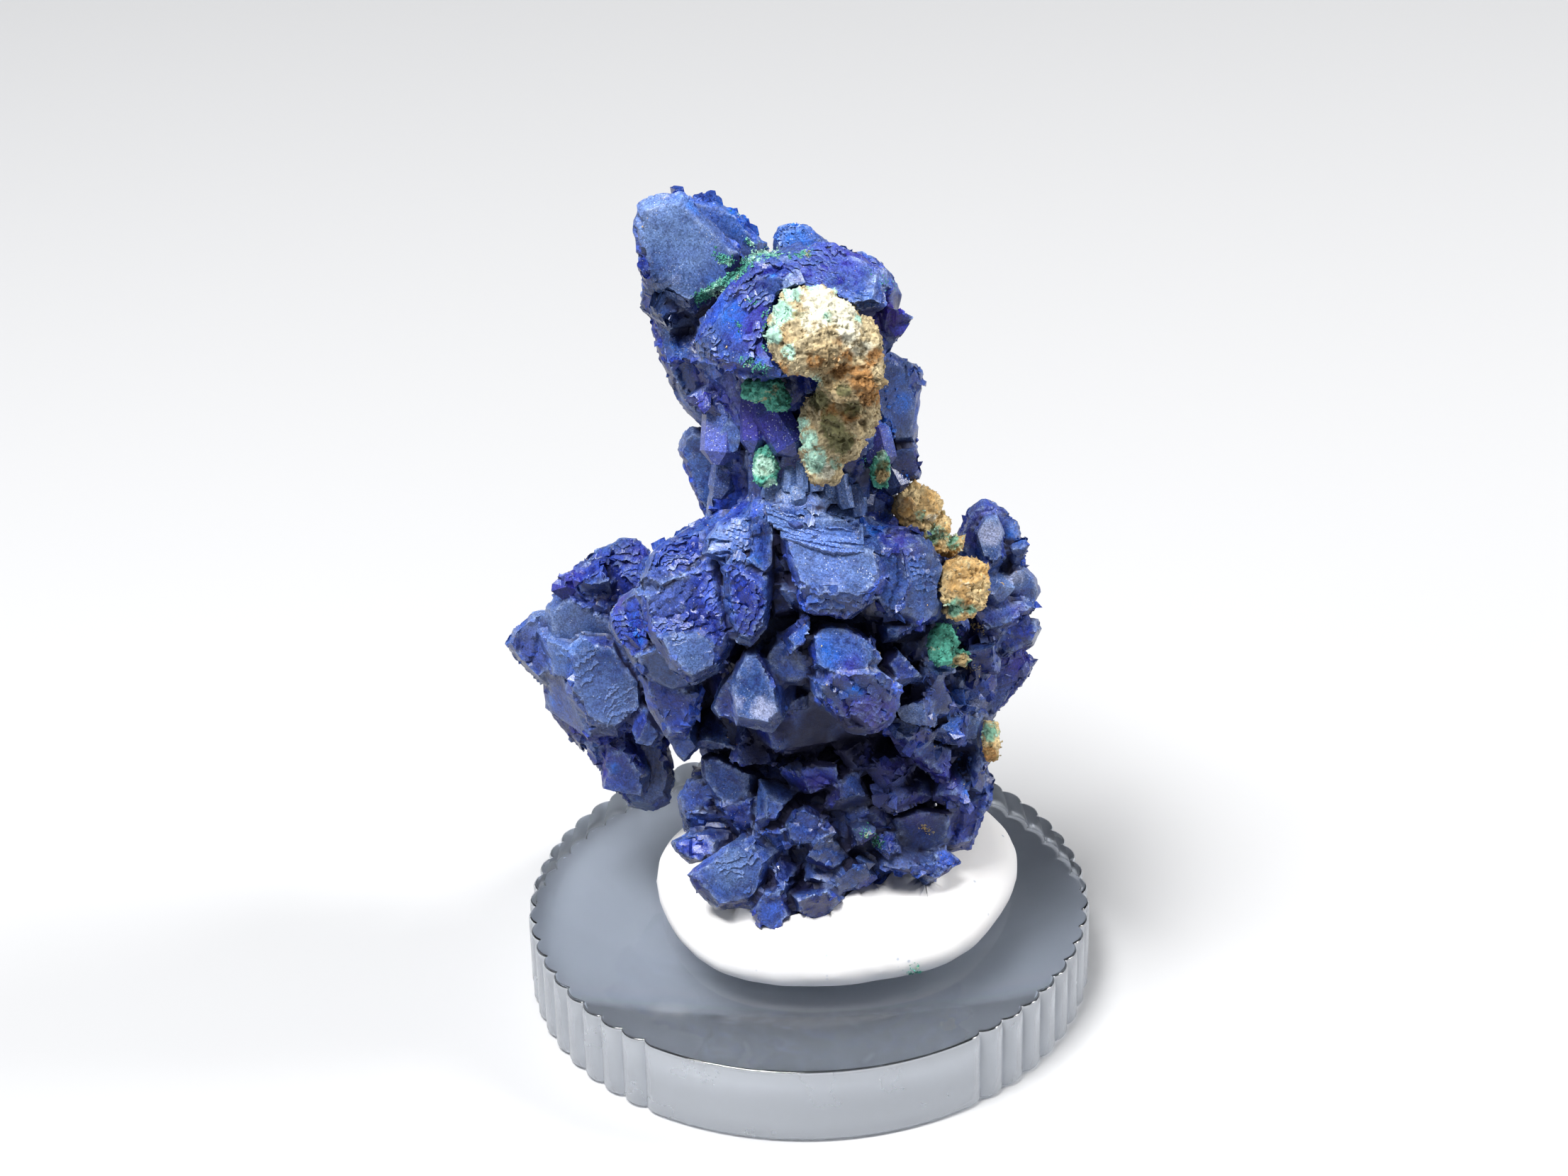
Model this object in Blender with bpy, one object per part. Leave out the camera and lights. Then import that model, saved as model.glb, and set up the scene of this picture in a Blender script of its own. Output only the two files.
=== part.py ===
"""Azurite crystal cluster with limonite and malachite, pressed into white putty on a round clear base.

The object's frame is +Z up, with the origin at the centre of the base's underside.  Sizes are in
millimetres and become metres through MM where a mesh is made.

The crystals are placed as somebody in front of the specimen sees them.  That viewer looks down at it
from EYE.  A sheet of millimetre paper stands square to the line of sight, through the centre of the
base's top face.  A crystal's outline is written as (across, up) on that sheet, and "front" is how far
the crystal's face stands in front of the upright plane through the middle of the base.
"""

import math
import random

import bmesh
import bpy
from mathutils import Matrix, Vector, noise

MM = 0.001

# The clear base: a disc with rounded flutes round its edge, apart from a plain stretch at the front.
BASE_DIAMETER = 31.75
BASE_THICKNESS = 4.65
FLUTE_PITCH_DEG = 6.0
FLUTE_DEPTH = 0.32
PLAIN_STRETCH_DEG = 66.0
POINTS_PER_FLUTE = 4

# The putty: a pressed ball, wider than it is deep.
PUTTY_CENTRE = (1.6, 0.1)
PUTTY_HALF_WIDTH = 10.1
PUTTY_HALF_DEPTH = 9.6
PUTTY_TOP = 8.9
PUTTY_WAIST = 5.9
GAP = 0.3

# The share of its triangles that a joined solid keeps when its slivers are collapsed.
KEPT_SHARE = 0.7

# Faces that lie flatter to each other than this are one facet.
FLAT_LIMIT = math.radians(1.5)

# The cluster is cut level here, inside the putty.
CLUSTER_FLOOR = 6.0

# The viewer that the outlines are drawn for.
EYE = Vector((0.0, -205.55, 153.87))
VIEW_TILT = math.radians(31.987)
VIEW_TURN = math.radians(0.2555)
VIEW_ROLL = math.radians(-1.557)
SHEET_CENTRE = Vector((0.0, 0.0, BASE_THICKNESS))

# Shares of a crystal's outline: its flat face, and its far end.
FLAT_SHARE = 0.78
BACK_SHARE = 0.62

# A small crystal's face as a share of its width, how far its corners reach past its half width, and
# how uneven it is: its face's size and place, its corners' reach and turn, and its twist in degrees.
CHIP_FACE_SHARE = 0.55
CHIP_GROWTH = 0.70
CHIP_FACE_CHANGE = 0.2
CHIP_SLIDE = 0.2
CHIP_UNEVEN = 0.2
CHIP_SKEW = 0.3
CHIP_TWIST = 28

# Crystals drawn one by one: name, front, lean (how much nearer the face comes per mm across and per
# mm up), thickness, and the outline.
DRAWN = [
    # the spire and the block beside it, at the top
    ("spire_face", 1.6, (0.05, -0.25), 6.5,
     [(-9.95, 38.2), (-9.6, 39.6), (-8.6, 40.15), (-7.1, 40.1), (-3.5, 36.6), (-4.0, 34.4), (-6.6, 33.2),
      (-9.35, 34.4), (-9.75, 36.2)]),
    ("spire_flank", 0.2, (0.25, -0.1), 6.0,
     [(-9.6, 35.6), (-9.1, 33.0), (-8.65, 31.0), (-7.9, 29.2), (-6.4, 27.3), (-4.6, 28.2), (-3.6, 31.0),
      (-5.2, 34.6)]),
    ("spire_heel", 0.4, (0.2, 0.1), 5.0,
     [(-8.5, 30.7), (-7.5, 28.3), (-5.9, 26.5), (-4.4, 27.2), (-3.4, 29.4), (-5.4, 31.6)]),
    ("spire_rear", -2.4, (-0.35, -0.3), 5.0,
     [(-7.6, 40.05), (-5.3, 39.75), (-4.2, 39.1), (-2.2, 37.2), (-2.6, 35.4), (-5.5, 35.0), (-7.4, 37.5)]),
    ("stub", -1.0, (0.0, -0.4), 4.0,
     [(-2.05, 37.2), (-1.8, 38.1), (-1.2, 38.35), (-0.2, 38.3), (0.5, 37.9), (1.4, 37.2), (0.4, 36.0),
      (-1.6, 36.0)]),
    ("head_left", 6.2, (0.42, -0.45), 9.0,
     [(-6.9, 31.5), (-5.8, 33.2), (-4.5, 35.1), (-3.2, 36.2), (-0.6, 36.0), (0.6, 33.0), (-0.4, 29.9),
      (-2.4, 29.5), (-4.3, 29.6), (-5.9, 30.5)]),
    ("head_top", 4.4, (-0.05, -1.0), 9.0,
     [(-3.4, 36.4), (-0.4, 37.1), (1.6, 37.15), (3.3, 36.6), (4.6, 35.6), (4.4, 33.6), (0.5, 33.0),
      (-3.0, 34.6)]),
    ("head_right", 3.2, (-0.85, -0.1), 7.0,
     [(1.8, 36.4), (4.0, 36.0), (5.0, 35.0), (5.2, 34.3), (4.95, 32.0), (4.3, 30.4), (2.4, 30.4),
      (1.2, 33.0)]),
    ("head_rear", -0.4, (-0.3, -0.5), 6.0,
     [(0.6, 37.3), (2.1, 37.15), (3.8, 36.4), (4.95, 35.2), (5.0, 32.8), (2.6, 31.0), (-0.5, 34.5)]),
    ("head_chin", 4.6, (0.1, 0.3), 7.0,
     [(-4.6, 30.4), (-1.5, 30.6), (3.4, 30.6), (4.0, 28.6), (1.6, 27.2), (-1.6, 27.4), (-4.0, 28.6)]),
    ("cheek", 2.2, (-0.5, -0.05), 6.0,
     [(3.6, 30.6), (4.6, 31.15), (5.7, 30.5), (6.4, 29.2), (6.25, 26.8), (6.1, 25.6), (4.9, 25.6),
      (4.2, 26.6), (3.5, 28.6)]),
    ("cheek_edge", 1.6, (-0.9, 0.0), 3.0,
     [(5.6, 30.55), (6.25, 30.4), (6.62, 29.8), (6.5, 28.9), (6.15, 28.3), (5.6, 28.9)]),
    ("cheek_foot", 2.4, (-0.1, -0.1), 4.5,
     [(4.5, 25.0), (4.6, 24.0), (5.1, 23.3), (6.3, 23.8), (6.48, 24.3), (6.2, 25.8), (4.9, 25.8)]),
    # the neck
    ("petal_outer", 2.9, (0.1, -0.35), 4.0,
     [(-5.4, 25.7), (-5.1, 26.8), (-4.4, 27.8), (-3.8, 27.9), (-3.65, 26.4), (-3.9, 25.2), (-4.7, 24.9)]),
    ("petal_middle", 3.5, (0.1, -0.35), 4.0,
     [(-3.65, 27.2), (-3.2, 28.05), (-2.6, 28.0), (-2.5, 26.8), (-3.0, 25.5), (-3.65, 26.0)]),
    ("petal_inner", 4.3, (-0.2, -0.35), 4.0,
     [(-2.8, 26.4), (-2.0, 27.8), (-1.3, 27.1), (-0.35, 25.9), (-0.9, 25.0), (-1.9, 25.0), (-2.7, 25.7)]),
    ("petal_low", 2.8, (0.2, 0.1), 4.0,
     [(-3.7, 25.6), (-3.0, 25.9), (-2.7, 24.8), (-3.2, 23.6), (-3.8, 24.4)]),
    ("petal_shade", 3.0, (0.0, 0.3), 4.5,
     [(-1.9, 25.0), (-0.4, 26.0), (0.0, 25.0), (-0.1, 24.1), (-0.7, 23.6), (-1.9, 23.7)]),
    ("shoulder_left", -0.4, (0.2, -0.1), 5.0,
     [(-7.45, 25.6), (-7.2, 26.5), (-6.6, 26.9), (-5.2, 26.0), (-4.6, 23.6), (-5.0, 21.6), (-5.7, 21.2),
      (-6.9, 24.0)]),
    ("neck_left", 2.2, (0.1, -0.3), 6.0,
     [(-5.3, 25.0), (-4.1, 24.8), (-3.2, 23.6), (-2.8, 22.2), (-3.6, 21.0), (-5.5, 20.8), (-5.9, 21.7),
      (-5.6, 23.4)]),
    ("neck_front", 4.2, (0.0, 0.0), 7.0,
     [(-3.4, 26.0), (3.2, 27.4), (4.2, 26.4), (3.6, 22.4), (-1.0, 21.6), (-3.4, 22.4)]),
    ("neck_right", 2.9, (-0.3, -0.1), 5.0,
     [(3.1, 22.9), (3.8, 23.3), (4.7, 23.9), (5.2, 22.2), (4.5, 21.4), (3.1, 21.6)]),
    # the stepped crystal at the waist: plates that overlap like tiles
    ("plate_top", 4.6, (0.0, -0.8), 4.0,
     [(0.3, 24.1), (2.25, 24.4), (2.75, 22.3), (1.2, 22.2), (0.3, 22.8)]),
    ("plate_crest", 4.9, (0.0, -0.7), 4.0,
     [(-0.95, 23.6), (0.1, 24.1), (0.4, 23.0), (1.4, 22.0), (-0.6, 22.0), (-2.3, 22.6), (-2.2, 23.2)]),
    ("plate_upper", 5.7, (0.0, -0.5), 4.0,
     [(-2.7, 22.6), (-1.2, 22.5), (0.4, 22.2), (1.9, 21.6), (1.7, 21.2), (0.2, 21.2), (-1.4, 21.6),
      (-2.5, 22.0)]),
    ("plate_lower", 6.3, (-0.1, -0.6), 5.0,
     [(-1.9, 21.5), (0.4, 21.7), (2.3, 21.7), (3.3, 21.0), (3.2, 20.1), (1.6, 20.0), (-0.4, 20.6)]),
    ("plate_end", 4.6, (-0.9, -0.2), 4.0,
     [(2.2, 24.3), (2.8, 24.0), (3.15, 22.0), (3.3, 20.4), (2.6, 20.4), (2.2, 22.6)]),
    # the middle: large blocks that hang over the foot
    ("brow_left", 6.2, (0.1, -0.45), 6.0,
     [(-6.0, 20.4), (-5.2, 21.4), (-4.2, 21.9), (-3.2, 22.05), (-2.9, 20.4), (-3.3, 18.6), (-5.0, 19.3),
      (-6.1, 19.5)]),
    ("brow_right", 6.5, (-0.35, -0.3), 6.0,
     [(-3.5, 21.9), (-2.6, 22.2), (-1.8, 21.5), (-1.9, 20.2), (-2.0, 18.7), (-2.6, 18.1), (-3.5, 18.9)]),
    ("cap", 4.8, (0.1, -0.7), 6.0,
     [(-9.75, 17.9), (-9.1, 19.6), (-8.1, 20.35), (-6.8, 20.95), (-5.85, 21.2), (-5.4, 19.8), (-6.6, 18.4),
      (-8.6, 17.4)]),
    ("scaly_face", 6.6, (0.12, -0.35), 8.0,
     [(-9.9, 17.5), (-7.6, 18.9), (-5.2, 19.5), (-4.8, 17.4), (-4.2, 14.4), (-5.1, 12.8), (-6.6, 12.1),
      (-7.9, 13.0), (-9.3, 15.2)]),
    ("pale_facet", 7.6, (-0.05, -0.35), 4.0,
     [(-8.75, 14.9), (-8.2, 15.15), (-6.2, 15.3), (-4.8, 14.7), (-5.0, 13.0), (-6.6, 12.3), (-8.0, 13.7)]),
    ("left_corner", 4.2, (0.55, -0.2), 6.0,
     [(-11.35, 16.2), (-10.7, 17.15), (-9.8, 17.75), (-8.8, 16.8), (-8.8, 14.0), (-9.8, 13.1), (-10.9, 14.4),
      (-11.4, 15.4)]),
    ("left_under", 5.0, (0.1, 0.4), 5.0,
     [(-9.9, 14.0), (-8.6, 14.6), (-6.6, 12.6), (-6.4, 12.0), (-7.6, 11.7), (-8.9, 12.3), (-9.8, 13.1)]),
    ("blade", 7.6, (0.35, -0.15), 5.0,
     [(-4.98, 19.6), (-4.2, 19.2), (-2.4, 17.8), (-2.1, 17.0), (-2.35, 15.3), (-3.3, 14.3), (-4.1, 14.5),
      (-4.75, 17.0)]),
    ("niche_wedge", 5.6, (0.1, 0.1), 4.0,
     [(-2.0, 20.2), (-1.2, 18.9), (-0.8, 17.4), (-0.6, 16.0), (-2.0, 15.8), (-2.3, 17.5)]),
    ("broad_face", 7.5, (-0.05, -0.5), 8.0,
     [(-1.85, 20.7), (-1.4, 21.0), (1.6, 20.1), (4.4, 20.0), (4.7, 18.2), (3.9, 17.0), (0.4, 16.9),
      (-0.9, 17.8), (-1.3, 19.3)]),
    ("broad_ledge", 8.1, (0.0, 0.05), 6.0,
     [(-0.95, 17.8), (1.2, 18.1), (3.0, 17.8), (3.8, 17.0), (2.4, 15.85), (0.4, 16.05), (-0.6, 16.3)]),
    ("broad_middle", 7.0, (-0.3, -0.3), 7.0,
     [(3.4, 20.0), (5.4, 20.3), (6.0, 18.0), (5.3, 15.9), (4.3, 16.0), (3.4, 17.4)]),
    ("broad_end", 5.6, (-0.6, -0.25), 7.0,
     [(5.0, 20.4), (6.2, 20.95), (7.1, 20.2), (8.35, 18.5), (7.9, 17.0), (7.4, 15.7), (6.2, 15.1),
      (5.0, 15.9)]),
    ("arrow", 7.9, (0.05, -0.3), 6.0,
     [(-3.6, 14.2), (-3.0, 14.45), (-2.6, 13.8), (-1.7, 11.8), (-1.45, 10.2), (-2.0, 9.45), (-4.2, 9.8),
      (-4.6, 12.0), (-4.2, 13.2)]),
    ("arrow_left", 7.2, (0.35, -0.2), 6.0,
     [(-5.0, 12.3), (-4.1, 13.2), (-3.6, 11.6), (-4.0, 9.9), (-5.2, 10.05), (-5.62, 10.8)]),
    ("hump_crown", 7.9, (0.0, -0.4), 7.0,
     [(-0.15, 15.2), (0.6, 15.8), (2.1, 15.6), (3.7, 14.9), (4.15, 13.6), (3.6, 12.6), (1.2, 12.4),
      (0.1, 13.1)]),
    ("hump_front", 8.5, (-0.05, 0.15), 7.0,
     [(0.15, 12.4), (1.6, 13.2), (3.9, 13.1), (5.2, 12.1), (5.2, 10.8), (4.6, 9.7), (3.3, 9.1), (2.2, 9.5),
      (0.2, 11.6)]),
    ("block", 6.9, (0.0, -0.2), 5.0,
     [(-2.75, 13.9), (-2.0, 14.8), (-0.1, 14.3), (0.2, 12.5), (-0.4, 12.1), (-1.8, 12.1)]),
    # the fang below the left block
    ("fang", 4.4, (0.15, -0.15), 5.0,
     [(-9.6, 12.8), (-7.4, 12.2), (-6.0, 11.8), (-6.2, 10.4), (-6.9, 9.0), (-8.0, 9.1), (-9.1, 10.8)]),
    ("fang_tip", 3.8, (0.1, 0.1), 4.0, [(-8.2, 9.4), (-6.9, 9.6), (-6.2, 8.6), (-7.05, 7.75), (-7.5, 8.2)]),
    # the arm on the left, further back
    ("arm_top", -3.2, (0.05, -0.3), 6.5,
     [(-14.6, 17.2), (-14.3, 18.1), (-12.2, 19.8), (-10.7, 20.5), (-9.7, 20.6), (-8.7, 19.4), (-9.4, 16.4),
      (-13.4, 16.2)]),
    ("arm_middle", -2.6, (0.1, -0.1), 7.0,
     [(-14.9, 16.6), (-14.2, 17.6), (-11.4, 17.2), (-10.0, 14.0), (-11.5, 11.6), (-13.8, 11.4),
      (-15.1, 12.8)]),
    ("arm_tip", -3.6, (0.3, -0.1), 5.5,
     [(-17.25, 14.5), (-16.9, 15.2), (-15.6, 16.3), (-14.2, 16.6), (-13.6, 14.0), (-15.2, 12.1),
      (-16.5, 13.4)]),
    ("arm_side", -3.8, (0.35, 0.1), 5.5,
     [(-15.3, 12.5), (-13.6, 13.4), (-12.2, 10.6), (-12.8, 8.3), (-13.6, 9.0), (-14.9, 10.9)]),
    ("arm_bulge", -0.9, (0.0, -0.2), 6.0,
     [(-13.9, 14.2), (-12.8, 15.0), (-11.0, 14.8), (-9.2, 12.4), (-9.1, 10.5), (-10.8, 9.1), (-12.4, 9.6),
      (-13.7, 11.6)]),
    ("arm_foot", -2.9, (0.1, 0.1), 6.0,
     [(-12.9, 8.9), (-11.2, 9.8), (-8.0, 9.3), (-7.5, 7.0), (-7.8, 5.5), (-8.8, 4.95), (-10.2, 5.1),
      (-11.9, 7.3)]),
    # the knobs on the right
    ("knob", 0.2, (-0.2, -0.25), 6.0,
     [(8.3, 20.6), (8.9, 22.1), (9.9, 22.85), (11.1, 22.2), (11.9, 21.4), (12.2, 20.4), (11.7, 18.9),
      (10.2, 18.3), (8.6, 19.2)]),
    ("knob_facet", 1.5, (-0.1, -0.35), 3.0,
     [(9.35, 20.9), (9.9, 21.8), (10.7, 21.9), (11.25, 20.8), (11.2, 19.3), (10.4, 18.6), (9.8, 19.2)]),
    ("pillar", 0.9, (-0.3, -0.1), 5.5,
     [(11.1, 18.6), (12.1, 19.05), (12.9, 18.3), (13.2, 17.4), (12.9, 16.4), (11.6, 16.0), (10.8, 17.2)]),
    ("shelf", 2.2, (-0.1, -0.9), 5.0,
     [(9.0, 16.0), (10.3, 17.1), (12.5, 17.1), (13.0, 16.6), (11.6, 15.6), (9.8, 15.0)]),
    ("right_block", 1.8, (-0.2, -0.2), 5.5,
     [(10.2, 14.9), (10.9, 15.8), (11.9, 16.05), (13.05, 15.9), (13.25, 15.4), (12.8, 14.4), (11.6, 13.8),
      (10.3, 14.1)]),
    ("right_slope", 2.8, (-0.3, -0.3), 6.0,
     [(7.6, 13.2), (9.0, 13.4), (10.7, 13.0), (10.6, 11.6), (9.7, 10.3), (8.3, 10.4), (7.6, 11.6)]),
    ("right_under", 0.9, (-0.4, 0.0), 5.5,
     [(10.3, 14.0), (12.2, 14.4), (12.85, 13.4), (12.5, 12.6), (11.4, 11.6), (10.2, 9.9), (9.6, 11.4)]),
    # the foot, pressed into the putty
    ("foot_nape", 1.6, (0.1, 0.0), 5.0,
     [(-6.1, 8.0), (-6.15, 9.6), (-4.8, 11.2), (-1.0, 11.0), (0.4, 9.0), (-2.4, 7.2)]),
    ("foot_roof", 3.4, (0.0, -0.3), 5.0,
     [(-6.15, 8.1), (-5.6, 8.4), (-3.0, 7.1), (-3.0, 6.0), (-4.2, 4.8), (-5.4, 5.6), (-6.1, 6.9)]),
    ("foot_cheek", 2.6, (0.3, -0.1), 5.0,
     [(-7.45, 5.8), (-6.9, 6.9), (-6.1, 7.1), (-5.4, 5.8), (-5.8, 4.9), (-7.3, 4.7)]),
    ("foot_dark", 3.0, (0.1, 0.1), 5.0, [(-7.3, 4.9), (-5.4, 5.3), (-3.8, 3.4), (-4.8, 2.8), (-7.1, 3.8)]),
    ("foot_ridge", 4.2, (0.2, -0.1), 4.0,
     [(-5.4, 5.5), (-3.2, 6.0), (-3.1, 4.2), (-3.6, 2.9), (-4.4, 4.0)]),
    ("foot_pale", 4.2, (0.1, -0.6), 4.5,
     [(-7.85, 3.3), (-7.0, 3.75), (-5.0, 3.4), (-5.2, 2.5), (-6.8, 2.0), (-7.7, 2.8)]),
    ("foot_lit", 6.6, (0.0, -0.3), 5.0,
     [(-6.95, 1.4), (-6.1, 2.1), (-4.7, 3.1), (-2.6, 2.95), (-2.0, 2.3), (-2.5, 0.3), (-3.2, -0.5),
      (-5.3, -0.6), (-6.4, 0.5)]),
    ("foot_toe", 7.2, (-0.1, -0.1), 4.0,
     [(-3.3, -0.6), (-2.6, 0.7), (-1.5, 0.5), (-0.9, -1.0), (-1.9, -2.0), (-2.8, -1.7)]),
    ("foot_gem", 6.1, (0.0, -0.2), 4.5,
     [(-1.5, 4.2), (-1.0, 5.1), (-0.3, 5.4), (1.1, 4.6), (1.7, 3.6), (0.8, 3.0), (-0.7, 2.8), (-1.3, 3.3)]),
    ("foot_wedge", 5.8, (-0.2, 0.1), 4.5,
     [(0.9, 0.9), (2.5, 2.1), (3.4, 2.3), (3.95, 1.3), (2.8, 0.5), (1.6, 0.2)]),
    ("foot_right", 4.4, (-0.1, 0.1), 6.0,
     [(4.4, 4.6), (6.4, 5.3), (8.3, 5.0), (8.2, 3.4), (6.8, 2.4), (5.2, 2.6)]),
    ("foot_side", 3.3, (-0.3, 0.0), 5.0,
     [(7.4, 5.2), (9.4, 5.8), (10.5, 6.1), (9.9, 4.8), (9.4, 3.1), (7.4, 2.6)]),
]

# Smaller crystals: across, up, front, width, height and turn in degrees.
CHIPS = [
    # round the middle
    (-1.0, 15.1, 7.2, 2.0, 1.5, 10), (-0.7, 11.4, 5.6, 1.9, 1.3, -10), (4.3, 15.3, 6.6, 2.6, 1.4, 12),
    (6.3, 14.4, 5.0, 1.8, 1.9, 30), (5.3, 13.1, 6.6, 2.2, 1.9, -25), (6.9, 12.8, 5.6, 2.2, 1.7, 15),
    (6.2, 11.0, 6.3, 1.9, 2.0, 0), (5.7, 9.4, 5.6, 2.8, 1.6, 5), (7.5, 10.9, 5.3, 1.3, 3.0, 4),
    (8.1, 9.5, 4.9, 1.8, 2.2, -10), (9.4, 9.2, 3.3, 1.7, 2.4, 0), (-0.6, 17.2, 6.8, 1.4, 2.0, -20),
    (5.2, 20.7, 4.9, 1.8, 1.2, 0), (6.8, 20.3, 4.4, 1.5, 1.4, 30), (3.9, 21.0, 4.4, 1.6, 1.4, 0),
    # the right-hand side
    (9.7, 13.6, 3.8, 1.9, 1.7, 20), (9.9, 15.0, 3.0, 2.2, 1.6, -20), (10.6, 17.8, 2.0, 1.6, 2.2, 0),
    (11.9, 20.0, 0.9, 1.2, 2.0, 0), (8.3, 15.9, 4.0, 1.6, 1.4, 0),
    # the foot
    (-3.5, 8.4, 4.4, 3.0, 1.6, -8), (-0.3, 9.3, 3.9, 3.0, 2.2, 0), (-5.9, 9.2, 3.2, 2.2, 2.0, 0),
    (0.1, 6.9, 5.0, 2.4, 2.1, -30), (2.0, 6.0, 5.4, 2.2, 2.4, 20), (-2.3, 5.7, 5.0, 2.1, 2.3, 15),
    (2.5, 3.8, 5.6, 2.0, 1.9, 10), (1.4, 2.3, 5.9, 2.4, 1.6, 0), (-1.8, 3.3, 5.4, 1.5, 2.3, 0),
    (-1.2, 1.4, 6.3, 1.7, 2.4, 12), (0.5, -0.3, 6.9, 2.6, 1.7, 5), (0.8, 1.1, 6.2, 1.8, 1.7, 15),
    (4.6, 7.2, 5.0, 2.9, 1.9, 14), (2.7, 8.4, 4.6, 2.4, 1.6, -6), (7.0, 7.6, 4.7, 2.4, 2.0, 0),
    (5.4, 5.7, 5.2, 2.3, 1.9, 0), (7.6, 5.9, 4.4, 2.2, 2.0, 0), (9.0, 7.4, 3.4, 1.9, 2.6, 0),
    (9.7, 6.0, 2.6, 1.5, 1.8, 0), (6.2, 2.1, 5.6, 2.8, 1.8, 8), (7.6, 1.9, 4.9, 1.9, 1.7, 0),
    (4.5, 3.3, 5.2, 1.9, 1.8, 0), (-3.1, 2.6, 5.9, 2.0, 1.6, 20),
    # the left arm
    (-12.4, 18.4, -2.2, 2.6, 1.7, 30), (-10.4, 7.4, -1.6, 2.8, 2.4, 20), (-14.4, 14.2, -2.2, 1.8, 2.4, 20),
    (-10.2, 15.8, 0.0, 1.6, 2.6, 0), (-9.0, 9.6, 0.6, 1.8, 1.6, 0),
    # the spire's ledges
    (-7.6, 33.6, 1.6, 2.6, 1.4, 20), (-6.9, 31.0, 1.6, 2.2, 1.5, 10),
    (-5.6, 28.4, 1.8, 2.2, 1.7, 0), (4.6, 32.6, 3.4, 1.8, 2.6, 0),
]

# The crystals' common heart, as rounded blocks: centre and half sizes.
HEARTS = [
    ((1.4, 0.6, 11.5), (7.2, 6.6, 6.0)), ((0.6, 0.4, 22.0), (7.6, 6.2, 8.6)),
    ((-0.4, 0.8, 32.5), (4.6, 4.4, 6.5)), ((-1.4, 0.6, 40.0), (5.0, 4.6, 5.8)),
    ((-5.8, 1.6, 44.0), (2.6, 2.6, 4.6)), ((-10.8, 4.6, 17.6), (4.2, 3.8, 5.8)),
    ((-6.0, 2.6, 20.5), (4.5, 3.8, 5.4)), ((7.6, 0.6, 18.0), (3.6, 4.2, 7.4)),
    ((1.3, 0.6, 7.8), (6.6, 6.2, 3.0)),
]

# The rear of the specimen: on each heart, crystals that point away from its centre.
REAR_COUNTS = [13, 13, 6, 7, 4, 7, 3, 9, 10]
REAR_LENGTH = (1.65, 3.75)
REAR_WIDTH = (3.6, 6.4)
REAR_SEED = 7
REAR_TRIES = 200
HIDDEN_MARGIN = 0.5

# How square the lumps' balls are: 1 is round and less is squarer.
SQUARENESS = 0.8

# Lumps of limonite and malachite: name, material, the balls that the lump is made of, and how rough
# it is.  A ball is (across, up, front), (half width, half height, half depth).
LUMPS = [
    ("limonite_head_lump", "limonite",
     [((0.4, 32.1, 7.4), (2.4, 2.2, 2.1)), ((2.4, 30.7, 7.2), (1.6, 2.4, 1.8)),
      ((2.2, 28.3, 6.4), (1.6, 2.0, 1.7)), ((1.3, 26.7, 5.6), (1.7, 1.9, 1.6)),
      ((0.9, 25.0, 5.4), (1.1, 1.3, 1.2))], 0.28),
    ("limonite_shoulder_lump", "limonite",
     [((6.1, 22.2, 3.0), (1.1, 1.2, 1.0)), ((7.0, 20.9, 3.2), (1.0, 1.2, 0.9)),
      ((8.0, 20.2, 3.0), (0.75, 0.6, 0.7))], 0.3),
    ("limonite_side_lump", "limonite",
     [((8.8, 18.0, 4.4), (1.3, 1.35, 1.1)), ((8.6, 16.8, 4.4), (0.9, 0.9, 0.8))], 0.25),
    ("malachite_side_flake", "malachite",
     [((7.6, 14.4, 5.4), (0.8, 1.1, 0.6)), ((8.3, 13.7, 5.4), (0.8, 0.5, 0.5))], 0.2),
    ("limonite_low_flake", "limonite", [((10.3, 9.0, 3.2), (0.5, 1.15, 0.7))], 0.12),
    ("malachite_tuft", "malachite",
     [((-2.6, 28.9, 5.0), (1.1, 0.6, 0.7)), ((-1.8, 28.3, 5.1), (0.75, 0.65, 0.6))], 0.2),
    ("malachite_left_bud", "malachite", [((-2.5, 24.5, 4.7), (0.75, 1.3, 0.6))], 0.15),
    ("malachite_right_bud", "malachite", [((4.1, 24.4, 4.2), (0.55, 1.1, 0.6))], 0.12),
]

COLOURS = {
    "azurite": ((0.012, 0.03, 0.24), 0.42, 0.0),
    "limonite": ((0.46, 0.30, 0.12), 0.9, 0.0),
    "malachite": ((0.16, 0.44, 0.30), 0.85, 0.0),
    "putty": ((0.86, 0.86, 0.84), 0.75, 0.0),
    "acrylic": ((0.80, 0.84, 0.88), 0.05, 0.0),
}


# ---------------------------------------------------------------- the viewer's sheet
def view_axes():
    """The viewer's right, up and forward directions."""
    turn = Matrix.Rotation(VIEW_TURN, 3, "Z")
    tilt = Matrix.Rotation(math.pi / 2 - VIEW_TILT, 3, "X")
    roll = Matrix.Rotation(VIEW_ROLL, 3, "Z")
    axes = turn @ tilt @ roll
    return axes.col[0], axes.col[1], -axes.col[2]


RIGHT, UP, FORWARD = view_axes()


def seen(across, up, front):
    """The point, in mm, that the viewer sees at (across, up) on the sheet, in the plane y = -front."""
    sheet = SHEET_CENTRE + RIGHT * across + UP * up
    sight = sheet - EYE
    return EYE + sight * ((-front - EYE.y) / sight.y)


# ---------------------------------------------------------------- scene and mesh helpers
def clear_scene():
    for obj in list(bpy.data.objects):
        bpy.data.objects.remove(obj)


def new_collection(name):
    collection = bpy.data.collections.new(name)
    bpy.context.scene.collection.children.link(collection)
    return collection


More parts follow.
